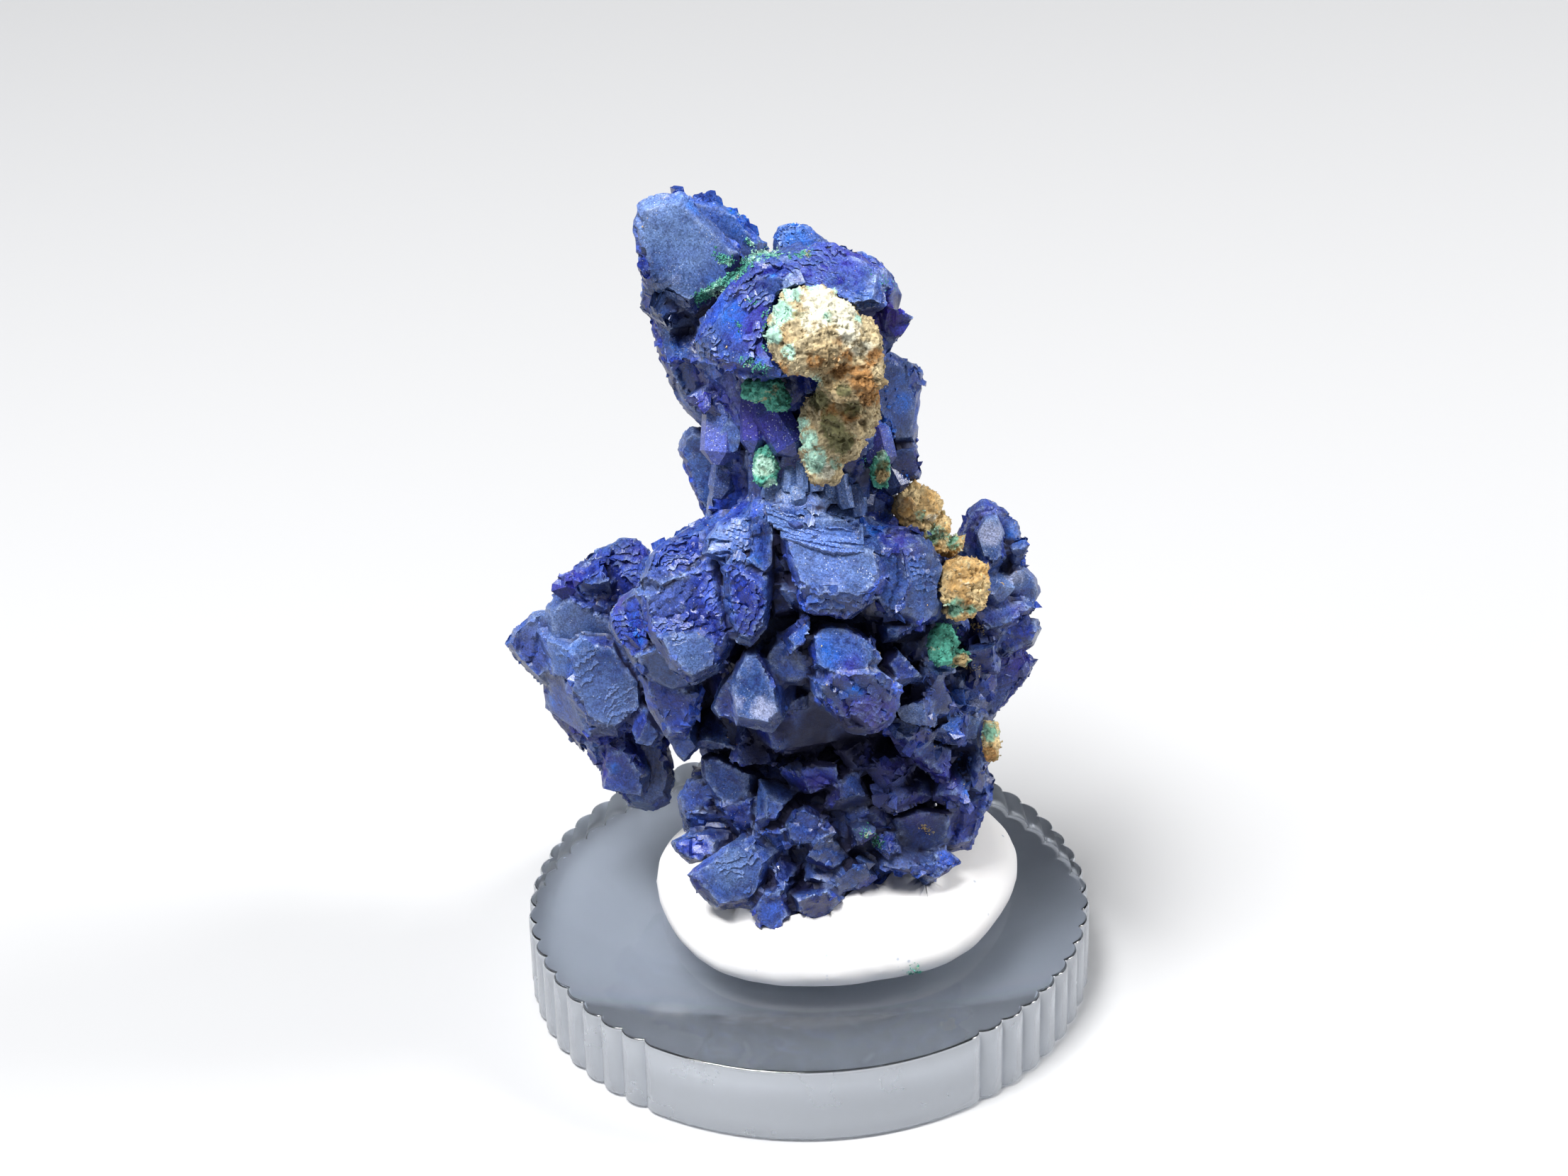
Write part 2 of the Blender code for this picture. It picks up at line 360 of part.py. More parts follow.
def material(name):
    colour, roughness, metallic = COLOURS[name]
    found = bpy.data.materials.new(name)
    found.use_nodes = True
    shader = found.node_tree.nodes["Principled BSDF"]
    shader.inputs["Base Color"].default_value = (*colour, 1.0)
    shader.inputs["Roughness"].default_value = roughness
    shader.inputs["Metallic"].default_value = metallic
    return found


def object_from(bm, name, collection, hidden=False):
    """An object in metres from a bmesh in mm."""
    mesh = bpy.data.meshes.new(name)
    bmesh.ops.recalc_face_normals(bm, faces=bm.faces)
    bmesh.ops.transform(bm, matrix=Matrix.Scale(MM, 4), verts=bm.verts)
    bm.to_mesh(mesh)
    bm.free()
    obj = bpy.data.objects.new(name, mesh)
    collection.objects.link(obj)
    if hidden:
        obj.hide_render = True
        obj.display_type = "WIRE"
    return obj


def boolean(target, operation, others):
    """Adds one Boolean of target with every object of a collection."""
    modifier = target.modifiers.new(operation.lower(), "BOOLEAN")
    modifier.operation = operation
    modifier.solver = "EXACT"
    modifier.operand_type = "COLLECTION"
    modifier.collection = others


def settled(obj, name, collection, surface):
    """A new object with obj's evaluated mesh, welded and without sealed pockets or crumbs."""
    graph = bpy.context.evaluated_depsgraph_get()
    mesh = bpy.data.meshes.new_from_object(obj.evaluated_get(graph))
    mesh.name = name
    bm = bmesh.new()
    bm.from_mesh(mesh)
    bmesh.ops.remove_doubles(bm, verts=bm.verts, dist=2e-6)
    bmesh.ops.dissolve_limit(bm, angle_limit=FLAT_LIMIT, verts=bm.verts, edges=bm.edges)
    bmesh.ops.triangulate(bm, faces=bm.faces)
    for island in islands(bm)[1:]:
        bmesh.ops.delete(bm, geom=list(island), context="VERTS")
    bm.to_mesh(mesh)
    bm.free()
    mesh.materials.clear()
    mesh.materials.append(surface)
    made = bpy.data.objects.new(name, mesh)
    collection.objects.link(made)
    simpler = made.modifiers.new("simpler", "DECIMATE")
    simpler.ratio = KEPT_SHARE
    return made


def islands(bm):
    """The mesh's separate pieces, as sets of vertices, with the largest first."""
    left = set(bm.verts)
    found = []
    while left:
        edge = [left.pop()]
        island = set(edge)
        while edge:
            for link in edge.pop().link_edges:
                for vert in link.verts:
                    if vert in left:
                        left.discard(vert)
                        island.add(vert)
                        edge.append(vert)
        found.append(island)
    return sorted(found, key=len, reverse=True)


def hull(points):
    """A closed mesh of flat faces round these points."""
    bm = bmesh.new()
    for point in points:
        bm.verts.new(point)
    made = bmesh.ops.convex_hull(bm, input=bm.verts)
    loose = {item for item in made["geom_interior"] if isinstance(item, bmesh.types.BMVert)}
    bmesh.ops.delete(bm, geom=list(loose), context="VERTS")
    bmesh.ops.dissolve_limit(bm, angle_limit=math.radians(4), verts=bm.verts, edges=bm.edges)
    bmesh.ops.triangulate(bm, faces=bm.faces)
    return bm


def cut_level(bm, height):
    """Takes away what lies below a height, and closes the cut with a flat face."""
    cut = bmesh.ops.bisect_plane(bm, geom=list(bm.verts) + list(bm.edges) + list(bm.faces),
                                 plane_co=(0, 0, height), plane_no=(0, 0, -1), clear_outer=True)
    rim = [item for item in cut["geom_cut"] if isinstance(item, bmesh.types.BMEdge)]
    if rim:
        bmesh.ops.contextual_create(bm, geom=rim)


def grown(bm, gap):
    """Moves each face of a convex mesh out by the gap."""
    bmesh.ops.recalc_face_normals(bm, faces=bm.faces)
    bm.normal_update()
    moves = [(vert, vert.normal * gap * min(vert.calc_shell_factor(), 3.0)) for vert in bm.verts]
    for vert, move in moves:
        vert.co += move
    return bm


# ---------------------------------------------------------------- crystals
def towards_heart(point):
    """The direction from a point to the nearest heart's centre, in which a crystal there is rooted."""
    centres = [Vector(centre) for centre, _ in HEARTS]
    return (min(centres, key=lambda centre: (centre - point).length) - point).normalized()


def rooted_hull(face, rim, length, share):
    """A crystal with this face and rim that narrows to a share of its width towards its heart."""
    middle = sum(rim, Vector()) / len(rim)
    root = towards_heart(middle) * length
    return hull(face + rim + [middle + root + (point - middle) * share for point in rim])


def drawn_crystal(front, lean, thickness, outline, rise=0.9):
    """A crystal with a flat face and sloping shoulders down to its outline."""
    middle = Vector((sum(p[0] for p in outline), sum(p[1] for p in outline))) / len(outline)
    rings = []
    for share, depth in ((FLAT_SHARE, 0.0), (1.0, rise)):
        ring = []
        for across, up in outline:
            a = middle.x + share * (across - middle.x)
            b = middle.y + share * (up - middle.y)
            near = front + lean[0] * (a - middle.x) + lean[1] * (b - middle.y)
            ring.append(seen(a, b, near - depth))
        rings.append(ring)
    return rooted_hull(*rings, thickness - rise, BACK_SHARE)


def chip(across, up, front, width, height, turn, dice):
    """A small crystal: an uneven block of four or five sides with a sloping face off its middle."""
    sides = dice.choice((4, 4, 5))
    lean = (dice.uniform(-0.8, 0.8), dice.uniform(-1.1, 0.4))
    depth = max(2.0, max(width, height))
    face_share = CHIP_FACE_SHARE + CHIP_FACE_CHANGE * math.sin(5.0 * across + 3.0 * up)
    slide = Vector((math.sin(7.0 * across + up) * width, math.sin(2.0 * across + 5.0 * up) * height))
    twist = math.radians(turn + CHIP_TWIST * math.sin(3.0 * across + 2.0 * up))
    rings = []
    for share, back, moved in ((face_share, 0.0, slide * CHIP_SLIDE), (1.0, 0.45, Vector((0.0, 0.0)))):
        ring = []
        for i in range(sides):
            angle = math.tau * (i + 0.5 + CHIP_SKEW * math.sin(across + 2.0 * i)) / sides
            reach = CHIP_GROWTH * share * (1.0 + CHIP_UNEVEN * math.sin(4.0 * up + 2.6 * i + across))
            along = Vector((math.cos(angle) * width, math.sin(angle) * height)) * reach + moved
            along.rotate(Matrix.Rotation(twist, 2))
            near = front + lean[0] * along.x + lean[1] * along.y - depth * back
            ring.append(seen(across + along.x, up + along.y, near))
        rings.append(ring)
    return rooted_hull(*rings, depth * 0.6, 0.8)


def heart(centre, half):
    """A coarse rounded block."""
    bm = bmesh.new()
    bmesh.ops.create_icosphere(bm, subdivisions=1, radius=1.0)
    bmesh.ops.scale(bm, vec=half, verts=bm.verts)
    bmesh.ops.translate(bm, vec=centre, verts=bm.verts)
    return bm


def silhouette(up):
    """The drawn crystals' furthest points left and right at a height on the sheet, or None."""
    crossings = []
    for row in DRAWN:
        outline = row[4]
        for (x0, y0), (x1, y1) in zip(outline, outline[1:] + outline[:1]):
            if (y0 > up) != (y1 > up):
                crossings.append(x0 + (up - y0) * (x1 - x0) / (y1 - y0))
    return (min(crossings), max(crossings)) if crossings else None


def hidden(point):
    """Whether the drawn crystals keep this point out of the viewer's outline of the specimen."""
    sight = point - EYE
    on_sheet = EYE + sight * ((SHEET_CENTRE - EYE).dot(FORWARD) / sight.dot(FORWARD)) - SHEET_CENTRE
    reach = silhouette(on_sheet.dot(UP) + HIDDEN_MARGIN)
    return reach is not None and reach[0] + HIDDEN_MARGIN < on_sheet.dot(RIGHT) < reach[1] - HIDDEN_MARGIN


def rear_crystal(centre, half, dice):
    """A crystal that grows out of a heart's rear or side, out of the viewer's sight, to a chisel edge."""
    for _ in range(REAR_TRIES):
        out = Vector([dice.gauss(0.0, 1.0) for _ in range(3)]).normalized()
        if out.y < -0.1 or out.z < -0.8:
            continue
        root = Vector(centre) + Vector([o * h * 0.55 for o, h in zip(out, half)])
        aim = (out + Vector([dice.uniform(-0.35, 0.35) for _ in range(3)])).normalized()
        reach = Vector([o * h for o, h in zip(out, half)]).length * 0.45 + dice.uniform(*REAR_LENGTH)
        width = dice.uniform(*REAR_WIDTH)
        turn = aim.to_track_quat("Z", "Y").to_matrix() @ Matrix.Rotation(dice.uniform(0, math.tau), 3, "Z")
        flat = dice.uniform(0.55, 0.9)
        sides = dice.choice((5, 6))
        local = []
        for share, height in ((0.8, 0.0), (1.0, dice.uniform(0.55, 0.75))):
            for i in range(sides):
                angle = math.tau * (i + 0.3 * math.sin(i * 2.4)) / sides
                radius = width / 2 * share
                local.append((math.cos(angle) * radius, math.sin(angle) * radius * flat, height * reach))
        edge = dice.uniform(0.15, 0.3) * width
        tilt = dice.uniform(-0.12, 0.12) * reach
        local += [(edge, 0.0, reach + tilt), (-edge, 0.0, reach - tilt)]
        points = [root + turn @ Vector(place) for place in local]
        if min(point.z for point in points[-2:]) > PUTTY_TOP and all(hidden(point) for point in points):
            return hull(points)
    return None


def azurite_meshes():
    """Every crystal of the cluster, as a bmesh in mm."""
    dice = random.Random(REAR_SEED)
    made = [heart(centre, half) for centre, half in HEARTS]
    for _, front, lean, thickness, outline in DRAWN:
        made.append(drawn_crystal(front, lean, thickness, outline))
    for row in CHIPS:
        made.append(chip(*row, dice))
    for (centre, half), count in zip(HEARTS, REAR_COUNTS):
        grown_out = [rear_crystal(centre, half, dice) for _ in range(count)]
        made += [bm for bm in grown_out if bm]
    return made


def azurite_cluster(parts, cutters, lump_cutters):
    """The crystals joined in one solid, cut level at the foot and pocketed for the lumps."""
    crystals = bpy.data.collections.new("crystals")
    cutters.children.link(crystals)
    meshes = azurite_meshes()
    first = object_from(meshes[0], "crystal_first", cutters, hidden=True)
    for i, bm in enumerate(meshes[1:]):
        object_from(bm, f"crystal_{i:03d}", crystals, hidden=True)
    boolean(first, "UNION", crystals)

    below = bmesh.new()
    bmesh.ops.create_cube(below, size=60.0)
    bmesh.ops.translate(below, vec=(0, 0, CLUSTER_FLOOR - 30.0), verts=below.verts)
    object_from(below, "floor_cutter", lump_cutters, hidden=True)
    boolean(first, "DIFFERENCE", lump_cutters)
    return settled(first, "azurite_cluster", parts, material("azurite"))


# ---------------------------------------------------------------- lumps
def ball(place, half, rough, growth=0.0):
    """A rough ball, seen at its place on the viewer's sheet."""
    centre = seen(*place)
    bm = bmesh.new()
    bmesh.ops.create_icosphere(bm, subdivisions=2, radius=1.0)
    for vert in bm.verts:
        out = vert.co.normalized()
        swell = 1.0 + rough * noise.noise(out * 1.7 + centre) + 0.5 * rough * noise.noise(out * 4.0 - centre)
        square = [math.copysign(abs(part) ** SQUARENESS, part) for part in out]
        local = Vector((square[0] * half[0], square[1] * half[1], square[2] * half[2])) * swell
        local += out * growth
        vert.co = centre + RIGHT * local.x + UP * local.y - FORWARD * local.z
    return bm


def lump(name, surface, balls, rough, parts, cutters):
    """Rough balls joined in one solid."""
    first = object_from(ball(*balls[0], rough), name + "_first", cutters, hidden=True)
    if len(balls) > 1:
        others = bpy.data.collections.new(name + "_balls")
        cutters.children.link(others)
        for i, (place, half) in enumerate(balls[1:]):
            object_from(ball(place, half, rough), f"{name}_{i}", others, hidden=True)
        boolean(first, "UNION", others)
    return settled(first, name, parts, surface)


def lump_pockets(pockets):
    """The same balls a gap larger, which cut the lumps' room out of the crystals."""
    for name, _, balls, rough in LUMPS:
        for i, (place, half) in enumerate(balls):
            object_from(ball(place, half, rough, growth=GAP), f"{name}_pocket_{i}", pockets, hidden=True)


# ---------------------------------------------------------------- base and putty
def rim_radius(angle):
    """The base's radius at an angle from the front: a plain stretch, and round flutes past it."""
    past_plain = math.degrees(angle) - PLAIN_STRETCH_DEG / 2
    if past_plain <= 0:
        return BASE_DIAMETER / 2
    crest = abs(math.cos(math.pi * past_plain / FLUTE_PITCH_DEG)) ** 0.7
    return BASE_DIAMETER / 2 - FLUTE_DEPTH * (1.0 - crest)


def base(parts):
    """The disc: a cylinder whose wall is drawn in between the flutes' crests."""
    steps = round(360 / FLUTE_PITCH_DEG) * POINTS_PER_FLUTE
    bm = bmesh.new()
    bmesh.ops.create_cone(bm, cap_ends=True, segments=steps, radius1=1.0, radius2=1.0, depth=BASE_THICKNESS)
    for vert in bm.verts:
        turn = math.atan2(vert.co.y, vert.co.x)
        from_front = abs((turn + math.pi / 2 + math.pi) % math.tau - math.pi)
        radius = rim_radius(from_front)
        vert.co = (radius * math.cos(turn), radius * math.sin(turn), vert.co.z + BASE_THICKNESS / 2)
    bmesh.ops.dissolve_limit(bm, angle_limit=math.radians(1.5), verts=bm.verts, edges=bm.edges)
    made = object_from(bm, "acrylic_base", parts)
    made.data.materials.append(material("acrylic"))
    return made


def putty(parts, cutters, crystals):
    """A pressed ball of putty with a flat underside and room for the crystals that stand in it."""
    bm = bmesh.new()
    bmesh.ops.create_uvsphere(bm, u_segments=36, v_segments=14, radius=1.0)
    for vert in bm.verts:
        out = vert.co.copy()
        flat = Vector((out.x, out.y)).length
        bulge = flat ** 0.55 if flat > 1e-6 else 0.0
        turn = math.atan2(out.y, out.x)
        wobble = 1.0 + 0.03 * math.sin(2 * turn + 0.6) + 0.02 * math.sin(5 * turn)
        height = PUTTY_TOP - PUTTY_WAIST if out.z > 0 else PUTTY_WAIST - BASE_THICKNESS + 1.0
        vert.co = Vector((PUTTY_CENTRE[0] + math.cos(turn) * bulge * PUTTY_HALF_WIDTH * wobble,
                          PUTTY_CENTRE[1] + math.sin(turn) * bulge * PUTTY_HALF_DEPTH * wobble,
                          PUTTY_WAIST + out.z * height))
    cut_level(bm, BASE_THICKNESS + GAP)
    made = object_from(bm, "putty_blob", cutters, hidden=True)
    room = bpy.data.collections.new("crystal_room")
    cutters.children.link(room)
    for i, crystal in enumerate(crystals):
        if min(vert.co.z for vert in crystal.verts) > PUTTY_TOP + 1.0:
            continue
        cut_level(grown(crystal, GAP), CLUSTER_FLOOR - GAP)
        if crystal.verts:
            object_from(crystal, f"room_{i:03d}", room, hidden=True)
    boolean(made, "DIFFERENCE", room)
    return settled(made, "mounting_putty", parts, material("putty"))


def main():
    clear_scene()
    parts = new_collection("azurite_specimen")
    cutters = new_collection("cutters")
    pockets = bpy.data.collections.new("pockets")
    cutters.children.link(pockets)

    base(parts)
    lump_pockets(pockets)
    azurite_cluster(parts, cutters, pockets)
    surfaces = {name: material(name) for name in ("limonite", "malachite")}
    for name, surface, balls, rough in LUMPS:
        lump(name, surfaces[surface], balls, rough, parts, cutters)
    putty(parts, cutters, azurite_meshes())


main()
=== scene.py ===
# %% [markdown]
# # An azurite specimen on a clear base
#
# The real thing is a cluster of dark blue azurite crystals, about 45 mm tall, with crumbs of brown limonite
# and green malachite.  White putty holds it on a round clear base.  This lesson dresses plain solids of those
# pieces, one finish at a time.  The solids come from a fixed frame in metres.  Natural detail is easier to
# think about in millimetres, so the helpers work in millimetres and turn the result into metres at the end.

# %% Load the frame
import math

import bmesh
import bpy
import numpy as np
from mathutils import Matrix, Vector
from mathutils.bvhtree import BVHTree
from mathutils.kdtree import KDTree


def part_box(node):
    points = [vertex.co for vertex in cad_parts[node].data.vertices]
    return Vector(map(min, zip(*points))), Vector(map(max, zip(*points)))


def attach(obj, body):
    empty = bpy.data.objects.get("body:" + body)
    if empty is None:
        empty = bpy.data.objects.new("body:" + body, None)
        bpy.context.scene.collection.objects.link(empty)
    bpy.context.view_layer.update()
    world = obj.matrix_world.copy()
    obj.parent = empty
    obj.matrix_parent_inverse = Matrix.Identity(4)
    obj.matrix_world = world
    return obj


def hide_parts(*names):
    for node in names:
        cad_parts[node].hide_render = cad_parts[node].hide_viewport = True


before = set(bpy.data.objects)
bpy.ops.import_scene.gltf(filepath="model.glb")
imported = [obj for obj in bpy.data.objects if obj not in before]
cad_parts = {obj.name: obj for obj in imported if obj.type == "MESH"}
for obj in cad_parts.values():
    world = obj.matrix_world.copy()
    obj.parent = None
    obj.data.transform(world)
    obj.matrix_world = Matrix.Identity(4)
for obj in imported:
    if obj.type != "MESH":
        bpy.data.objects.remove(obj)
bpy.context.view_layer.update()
MM = 0.001
BODY = "root"
print("solids:", ", ".join(sorted(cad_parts)))

# %% [markdown]
# ## The viewer and the sheet
#
# The camera comes first, because every later change is judged through it.  It stands about 257 mm away and
# looks down by 32 degrees with a 102.6 mm lens.  Places on the specimen are easiest to point at as the viewer
# sees them, so they are written as millimetres across and up a sheet that stands square to the line of sight
# through the middle of the base's top.  A ray through the sheet then finds the surface.

# %% Camera
EYE = Vector((0.0, -205.55, 153.87))
VIEW_TILT = math.radians(31.987)
VIEW_TURN = math.radians(0.2555)
VIEW_ROLL = math.radians(-1.557)
LENS = 102.6
BASE_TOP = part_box("acrylic_base")[1].z / MM

view = (Matrix.Rotation(VIEW_TURN, 3, "Z") @ Matrix.Rotation(math.pi / 2 - VIEW_TILT, 3, "X")
        @ Matrix.Rotation(VIEW_ROLL, 3, "Z"))
RIGHT, UP, FORWARD = view.col[0].copy(), view.col[1].copy(), -view.col[2]
RIGHT_ROW, UP_ROW, FORWARD_ROW = np.array(RIGHT), np.array(UP), np.array(FORWARD)
SHEET_CENTRE = Vector((0.0, 0.0, BASE_TOP))


def new_object(name, data):
    """An object in the scene."""
    made = bpy.data.objects.new(name, data)
    bpy.context.scene.collection.objects.link(made)
    return made


camera = new_object("camera", bpy.data.cameras.new("camera"))
camera.matrix_world = Matrix.Translation(EYE * MM) @ view.to_4x4()
camera.data.lens = LENS
camera.data.sensor_width = 36.0
camera.data.clip_start = 0.01
bpy.context.scene.camera = camera


def sight(across, up):
    """The direction in which the viewer sees a place on the sheet."""
    return (SHEET_CENTRE + RIGHT * across + UP * up - EYE).normalized()


def seen(across, up, front):
    """The point that the viewer sees at a place on the sheet, at a depth in front of the base's middle."""
    way = sight(across, up)
    return EYE + way * ((-front - EYE.y) / way.y)


def on_sheet(points):
    """How far across and up the sheet the viewer sees each of some points."""
    ways = points - np.array(EYE)
    reach = (SHEET_CENTRE - EYE).dot(FORWARD) / (ways @ FORWARD_ROW)
    flat = np.array(EYE) + ways * reach[:, None] - np.array(SHEET_CENTRE)
    return flat @ RIGHT_ROW, flat @ UP_ROW


print("camera looks along", [round(c, 3) for c in FORWARD])

# %% [markdown]
# ## Floor and light
#
# Dark glossy crystals show their shape by what they mirror, so large soft lamps matter more than strong
# ones.  A wide lamp above and behind makes the sheen on faces that look up, a cooler one fills from the
# left, and a small one on the right picks out the shiny knobs.  The floor is a pale sweep.

# %% Floor, backdrop and lamps
FLOOR_HALF = 1.4
SWEEP_START = 0.35
SWEEP_RADIUS = 0.35
FLOOR_DROP = 0.00012
CARD = (0.50, 0.51, 0.53, 1.0)
CARD_ROUGHNESS = 0.6


def sweep_profile(steps=16):
    """The floor's side view: flat, then a quarter circle, then a wall."""
    points = [(-FLOOR_HALF, 0.0), (SWEEP_START, 0.0)]
    for i in range(1, steps + 1):
        turn = math.pi / 2 * i / steps
        points.append((SWEEP_START + SWEEP_RADIUS * math.sin(turn), SWEEP_RADIUS * (1 - math.cos(turn))))
    points.append((SWEEP_START + SWEEP_RADIUS, FLOOR_HALF))
    return points


def make_floor():
    bm = bmesh.new()
    previous = None
    for y, z in sweep_profile():
        pair = [bm.verts.new((x, y, z - FLOOR_DROP)) for x in (-FLOOR_HALF, FLOOR_HALF)]
        if previous:
            bm.faces.new((previous[0], previous[1], pair[1], pair[0]))
        previous = pair
    mesh = bpy.data.meshes.new("floor")
    bm.to_mesh(mesh)
    bm.free()
    mesh.shade_smooth()
    paint = bpy.data.materials.new("pale_card")
    paint.use_nodes = True
    shader = paint.node_tree.nodes["Principled BSDF"]
    shader.inputs["Base Color"].default_value = CARD
    shader.inputs["Roughness"].default_value = CARD_ROUGHNESS
    mesh.materials.append(paint)
    new_object("floor", mesh)


SUBJECT = Vector((0.0, 0.0, 0.027))
# The name, place, size, power in watts and colour of each lamp.  All of them look at the subject.
LAMPS = [("top_softbox", (-0.10, -0.10, 0.36), (0.16, 0.12), 2.7, (1.0, 0.985, 0.96)),
         ("left_fill", (-0.34, -0.20, 0.22), (0.20, 0.26), 0.25, (0.90, 0.94, 1.0)),
         ("right_accent", (0.28, 0.02, 0.22), (0.08, 0.12), 0.9, (1.0, 0.98, 0.95)),
         ("front_fill", (0.03, -0.42, 0.36), (0.22, 0.16), 0.14, (1.0, 1.0, 1.0))]
SKY = (0.80, 0.84, 0.90, 1.0)
SKY_STRENGTH = 0.065


def lamp(name, place, size, power, tint):
    data = bpy.data.lights.new(name, "AREA")
    data.shape = "RECTANGLE"
    data.size, data.size_y = size
    data.energy = power
    data.color = tint
    made = new_object(name, data)
    made.location = place
    made.rotation_euler = (SUBJECT - Vector(place)).to_track_quat("-Z", "Y").to_euler()


make_floor()
for lamp_facts in LAMPS:
    lamp(*lamp_facts)

world = bpy.data.worlds.new("studio")
bpy.context.scene.world = world
world.use_nodes = True
world.node_tree.nodes["Background"].inputs["Color"].default_value = SKY
world.node_tree.nodes["Background"].inputs["Strength"].default_value = SKY_STRENGTH

# %% [markdown]
# ## Helpers for meshes
#
# Fine stone surfaces need many even faces, and a voxel remesh gives them in one step.  The remesh rounds the
# crystals' edges a little, so each new point is put back on the nearest point of the plain solid.  After
# that the mesh is only a list of points, and numpy moves them all at once.

# %% Mesh helpers
def merged_copy(node):
    """A CAD solid's mesh, in millimetres, with its loose triangles joined."""
    bm = bmesh.new()
    bm.from_mesh(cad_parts[node].data)
    bmesh.ops.transform(bm, matrix=Matrix.Scale(1 / MM, 4), verts=bm.verts)
    bmesh.ops.remove_doubles(bm, verts=bm.verts, dist=0.001)
    return bm


def as_object(bm, name):
    mesh = bpy.data.meshes.new(name)
    bm.to_mesh(mesh)
    return new_object(name, mesh)


def closed_piece(name, corners, faces):
    """An object from corners and faces, with its faces turned outwards and flat."""
    mesh = bpy.data.meshes.new(name)
    mesh.from_pydata([tuple(corner) for corner in corners], [], faces)
    bm = bmesh.new()
    bm.from_mesh(mesh)
    bmesh.ops.recalc_face_normals(bm, faces=bm.faces)
    bm.to_mesh(mesh)
    bm.free()
    mesh.shade_flat()
    return new_object(name, mesh)


def apply_modifiers(obj):
    """Turns the evaluated object into a plain mesh and drops its modifiers."""
    graph = bpy.context.evaluated_depsgraph_get()
    mesh = bpy.data.meshes.new_from_object(obj.evaluated_get(graph))
    obj.modifiers.clear()
    old = obj.data
    obj.data = mesh
    bpy.data.meshes.remove(old)
    mesh.name = obj.name
    return obj


def voxel_skin(obj, voxel):
    remesh = obj.modifiers.new("skin", "REMESH")
    remesh.mode = "VOXEL"
    remesh.voxel_size = voxel
    return apply_modifiers(obj)


def points_of(mesh):
    flat = np.empty(len(mesh.vertices) * 3, np.float32)
    mesh.vertices.foreach_get("co", flat)
    return flat.reshape(-1, 3).astype(float)


def normals_of(mesh):
    flat = np.empty(len(mesh.vertices) * 3, np.float32)
    mesh.vertex_normals.foreach_get("vector", flat)
    return flat.reshape(-1, 3).astype(float)


def set_points(mesh, points):
    mesh.vertices.foreach_set("co", points.astype(np.float32).ravel())
    mesh.update()


def set_facts(mesh, **facts):
    """Attributes for the materials to read.  Each fact is one number, or one number for each point."""
    for name, values in facts.items():
        made = mesh.attributes.new(name, "FLOAT", "POINT")
        made.data.foreach_set("value", np.broadcast_to(values, len(mesh.vertices)).astype(np.float32))


def triangle_count(mesh):
    return sum(len(face.vertices) - 2 for face in mesh.polygons)


def finish_piece(obj, slot, material, *nodes):
    """Metres, material, and the calls that tie the piece to the frame."""
    obj.data.transform(Matrix.Scale(MM, 4))
    obj.data.materials.clear()
    obj.data.materials.append(material)
    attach(obj, BODY)
    if nodes:
        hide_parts(*nodes)
    print(f"{obj.name}: {triangle_count(obj.data)} triangles")


# %% [markdown]
# ## The crystals' skin
#
# Every facet of a real azurite crystal has its own finish.  Some are smooth, and many are built of
# overlapping scales or broken steps.  The facets of the plain solid are found by walking over triangles that
# lie in one plane.  Each point of a fine skin then knows its facet, the way that facet's grain runs, and how
# far it is from a sharp edge.

# %% Facets of the plain crystals
FACET_ANGLE = math.radians(9)
SHARP_ANGLE = math.radians(22)
EDGE_SPACING = 0.06

crystal_bm = merged_copy("azurite_cluster")
crystal_bm.faces.ensure_lookup_table()
crystal_bm.normal_update()
crystal_tree = BVHTree.FromBMesh(crystal_bm)


def walk_facets(bm):
    """A facet number for each face, and a list of faces for each facet."""
    number = [-1] * len(bm.faces)
    members = []
    for start in sorted(bm.faces, key=lambda face: -face.calc_area()):
        if number[start.index] >= 0:
            continue
        number[start.index] = len(members)
        reached = [start]
        found = []
        while reached:
            face = reached.pop()
            found.append(face)
            for edge in face.edges:
                for other in edge.link_faces:
                    if number[other.index] < 0 and other.normal.angle(start.normal, 3.0) < FACET_ANGLE:
                        number[other.index] = len(members)
                        reached.append(other)
        members.append(found)
    return np.array(number), members


def facet_frame(faces):
    """A facet's normal, the way it is longest, and its area."""
    normal = np.sum([np.array(face.normal) * face.calc_area() for face in faces], axis=0)
    normal /= np.linalg.norm(normal)
    corners = np.array([vert.co for face in faces for vert in face.verts])
    corners -= corners.mean(axis=0)
    spread = corners.T @ corners
    longest = np.linalg.eigh(spread)[1][:, 2]
    longest -= normal * longest.dot(normal)
    return normal, longest / (np.linalg.norm(longest) + 1e-9), sum(face.calc_area() for face in faces)


facet_of_face, facet_members = walk_facets(crystal_bm)
frames = [facet_frame(faces) for faces in facet_members]
facet_normal = np.array([f[0] for f in frames])
facet_grain = np.array([f[1] for f in frames])
facet_area = np.array([f[2] for f in frames])
print(len(facet_area), "facets, the largest", round(facet_area.max(), 1), "square mm")


def tree_of(points):
    """A tree that finds the nearest of some points."""
    tree = KDTree(len(points))
    for i, point in enumerate(points):
        tree.insert(point, i)
    tree.balance()
    return tree


def ridge_points(bm):
    """Points along the sharp edges that stand out."""
    found = []
    for edge in bm.edges:
        if not edge.is_convex or edge.calc_face_angle(0.0) < SHARP_ANGLE:
            continue
        a, b = edge.verts[0].co, edge.verts[1].co
        count = max(1, math.ceil((b - a).length / EDGE_SPACING))
        found += [a.lerp(b, i / count) for i in range(count + 1)]
    print(len(found), "points on ridges")
    return found


ridge_tree = tree_of(ridge_points(crystal_bm))


def distance_to(tree, points):
    return np.array([tree.find(p)[2] for p in points])


